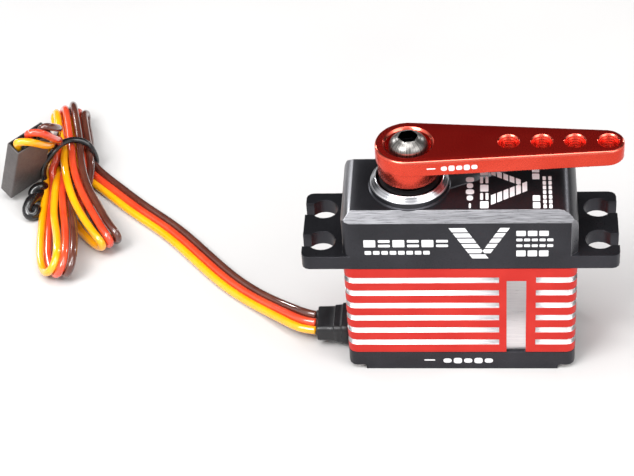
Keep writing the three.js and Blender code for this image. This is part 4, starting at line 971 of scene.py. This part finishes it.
def marks_panel():
    """The bars and stripes of one label: u to the right, v up, about 29 by 6 mm."""
    out = []
    for k in range(6):
        out += [bar(-12.9 + 2.25 * k, 0.55, 1.85, 0.5), bar(-12.9 + 2.25 * k, -0.35, 1.85, 0.5)] if k % 2 else [bar(-12.9 + 2.25 * k, 0.1, 1.85, 1.4)]
    for k in range(8):
        out.append(bar(-13.2 + 1.3 * k, -1.72, 1.02, 0.72))
    for k in range(6):
        v = 2.7 - 1.04 * k
        out.append(bar(0.9 + 0.62 * k, v, 2.5, 0.8, 0.05, -0.6))
        if k < 5:
            out.append(bar(7.8 - 0.62 * k, v, 1.5, 0.8, 0.05, 0.6))
    for k in range(3):
        out.append(bar(10.5 + 1.75 * k, 2.0, 1.45, 1.0))
        out.append(bar(10.5 + 1.75 * k, -1.95, 1.45, 1.15))
    for k in range(5):
        out += [bar(10.25 + 1.18 * k, 0.72, 0.94, 0.52), bar(10.25 + 1.18 * k, -0.42, 0.94, 0.52)]
    return out


def marks_top():
    """The label on the top, turned a quarter: u to the back, v to the left, in columns that end under the horn."""
    out = [bar(-5.2, -1.6, 1.1, 0.3)]
    for k in range(4):
        out.append(bar(-3.4 + 1.45 * k, -1.6, 1.15, 1.25 if k % 2 else 0.95, 0.4))
    for k in range(5):
        u = -5.0 + 1.95 * k
        out += [bar(u, -3.35, 1.6, 0.45), bar(u, -4.15, 1.6, 0.45)] if k % 2 else [bar(u, -3.75, 1.6, 1.25)]
    for k in range(6):
        v = -5.1 - 0.94 * k
        out.append(bar(-3.7 + 0.56 * k, v, 2.2, 0.72, 0.05, -0.6))
        if k < 5:
            out.append(bar(2.6 - 0.56 * k, v, 1.4, 0.72, 0.05, 0.6))
    for k in range(2):
        out += [bar(-5.2 + 1.65 * k, -11.5, 1.35, 1.1), bar(1.6 + 1.65 * k, -11.5, 1.35, 1.1)]
    for k in range(7):
        out += [bar(-5.45 + 1.1 * k, -12.75, 0.88, 0.5), bar(-5.45 + 1.1 * k, -13.6, 0.88, 0.5)]
    return out


bm = bmesh.new()
for poly in marks_panel():
    slab(bm, [(-1.0 + u * 0.97, -HY - 0.004, 26.05 + v) for u, v in poly], (0, -1, 0))
for poly in marks_top():
    slab(bm, [(-v, u, TOP_Z + 0.004) for u, v in poly], (0, 0, 1))
for k in range(5):
    slab(bm, [(-2.2 + 1.62 * k + u, -HY - 0.004, 1.72 + v) for u, v in bar(0, 0, 1.3, 1.15 if k % 2 else 0.9, 0.4)], (0, -1, 0))
slab(bm, [(-5.0 + u, -HY - 0.004, 1.85 + v) for u, v in bar(0, 0, 1.7, 0.26)], (0, -1, 0))
place(object_from("case_marks", tidy(bm), [M["white_mark"]], 30.0), "case", SLOT_OF["top_case"])

lean = math.asin((END_R - TIP_R) / REACH)
side_n = np.array([math.sin(lean), -math.cos(lean), 0.0])
side_t = np.array([math.cos(lean), math.sin(lean), 0.0])
side_o = np.array([AX_MM, 0, 0]) + END_R * side_n
bm = bmesh.new()


def on_side(u, v):
    return side_o + side_t * u + side_n * 0.004 + np.array([0, 0, v])


for k in range(5):
    slab(bm, [on_side(5.0 + 1.12 * k + u, 38.12 + v) for u, v in bar(0, 0, 0.9, 1.0 if k % 2 else 0.78, 0.3)], side_n)
slab(bm, [on_side(3.1 + u, 38.2 + v) for u, v in bar(0, 0, 1.3, 0.2)], side_n)
place(object_from("horn_marks", tidy(bm), [M["white_mark"]], 30.0), "output", SLOT_OF["horn"])

for n in nodes:
    if n.startswith("case_screw_"):
        dress(nodes[n], M["bright_screw"])

# ---------------------------------------------------------------- the scene's last update
bpy.context.view_layer.update()
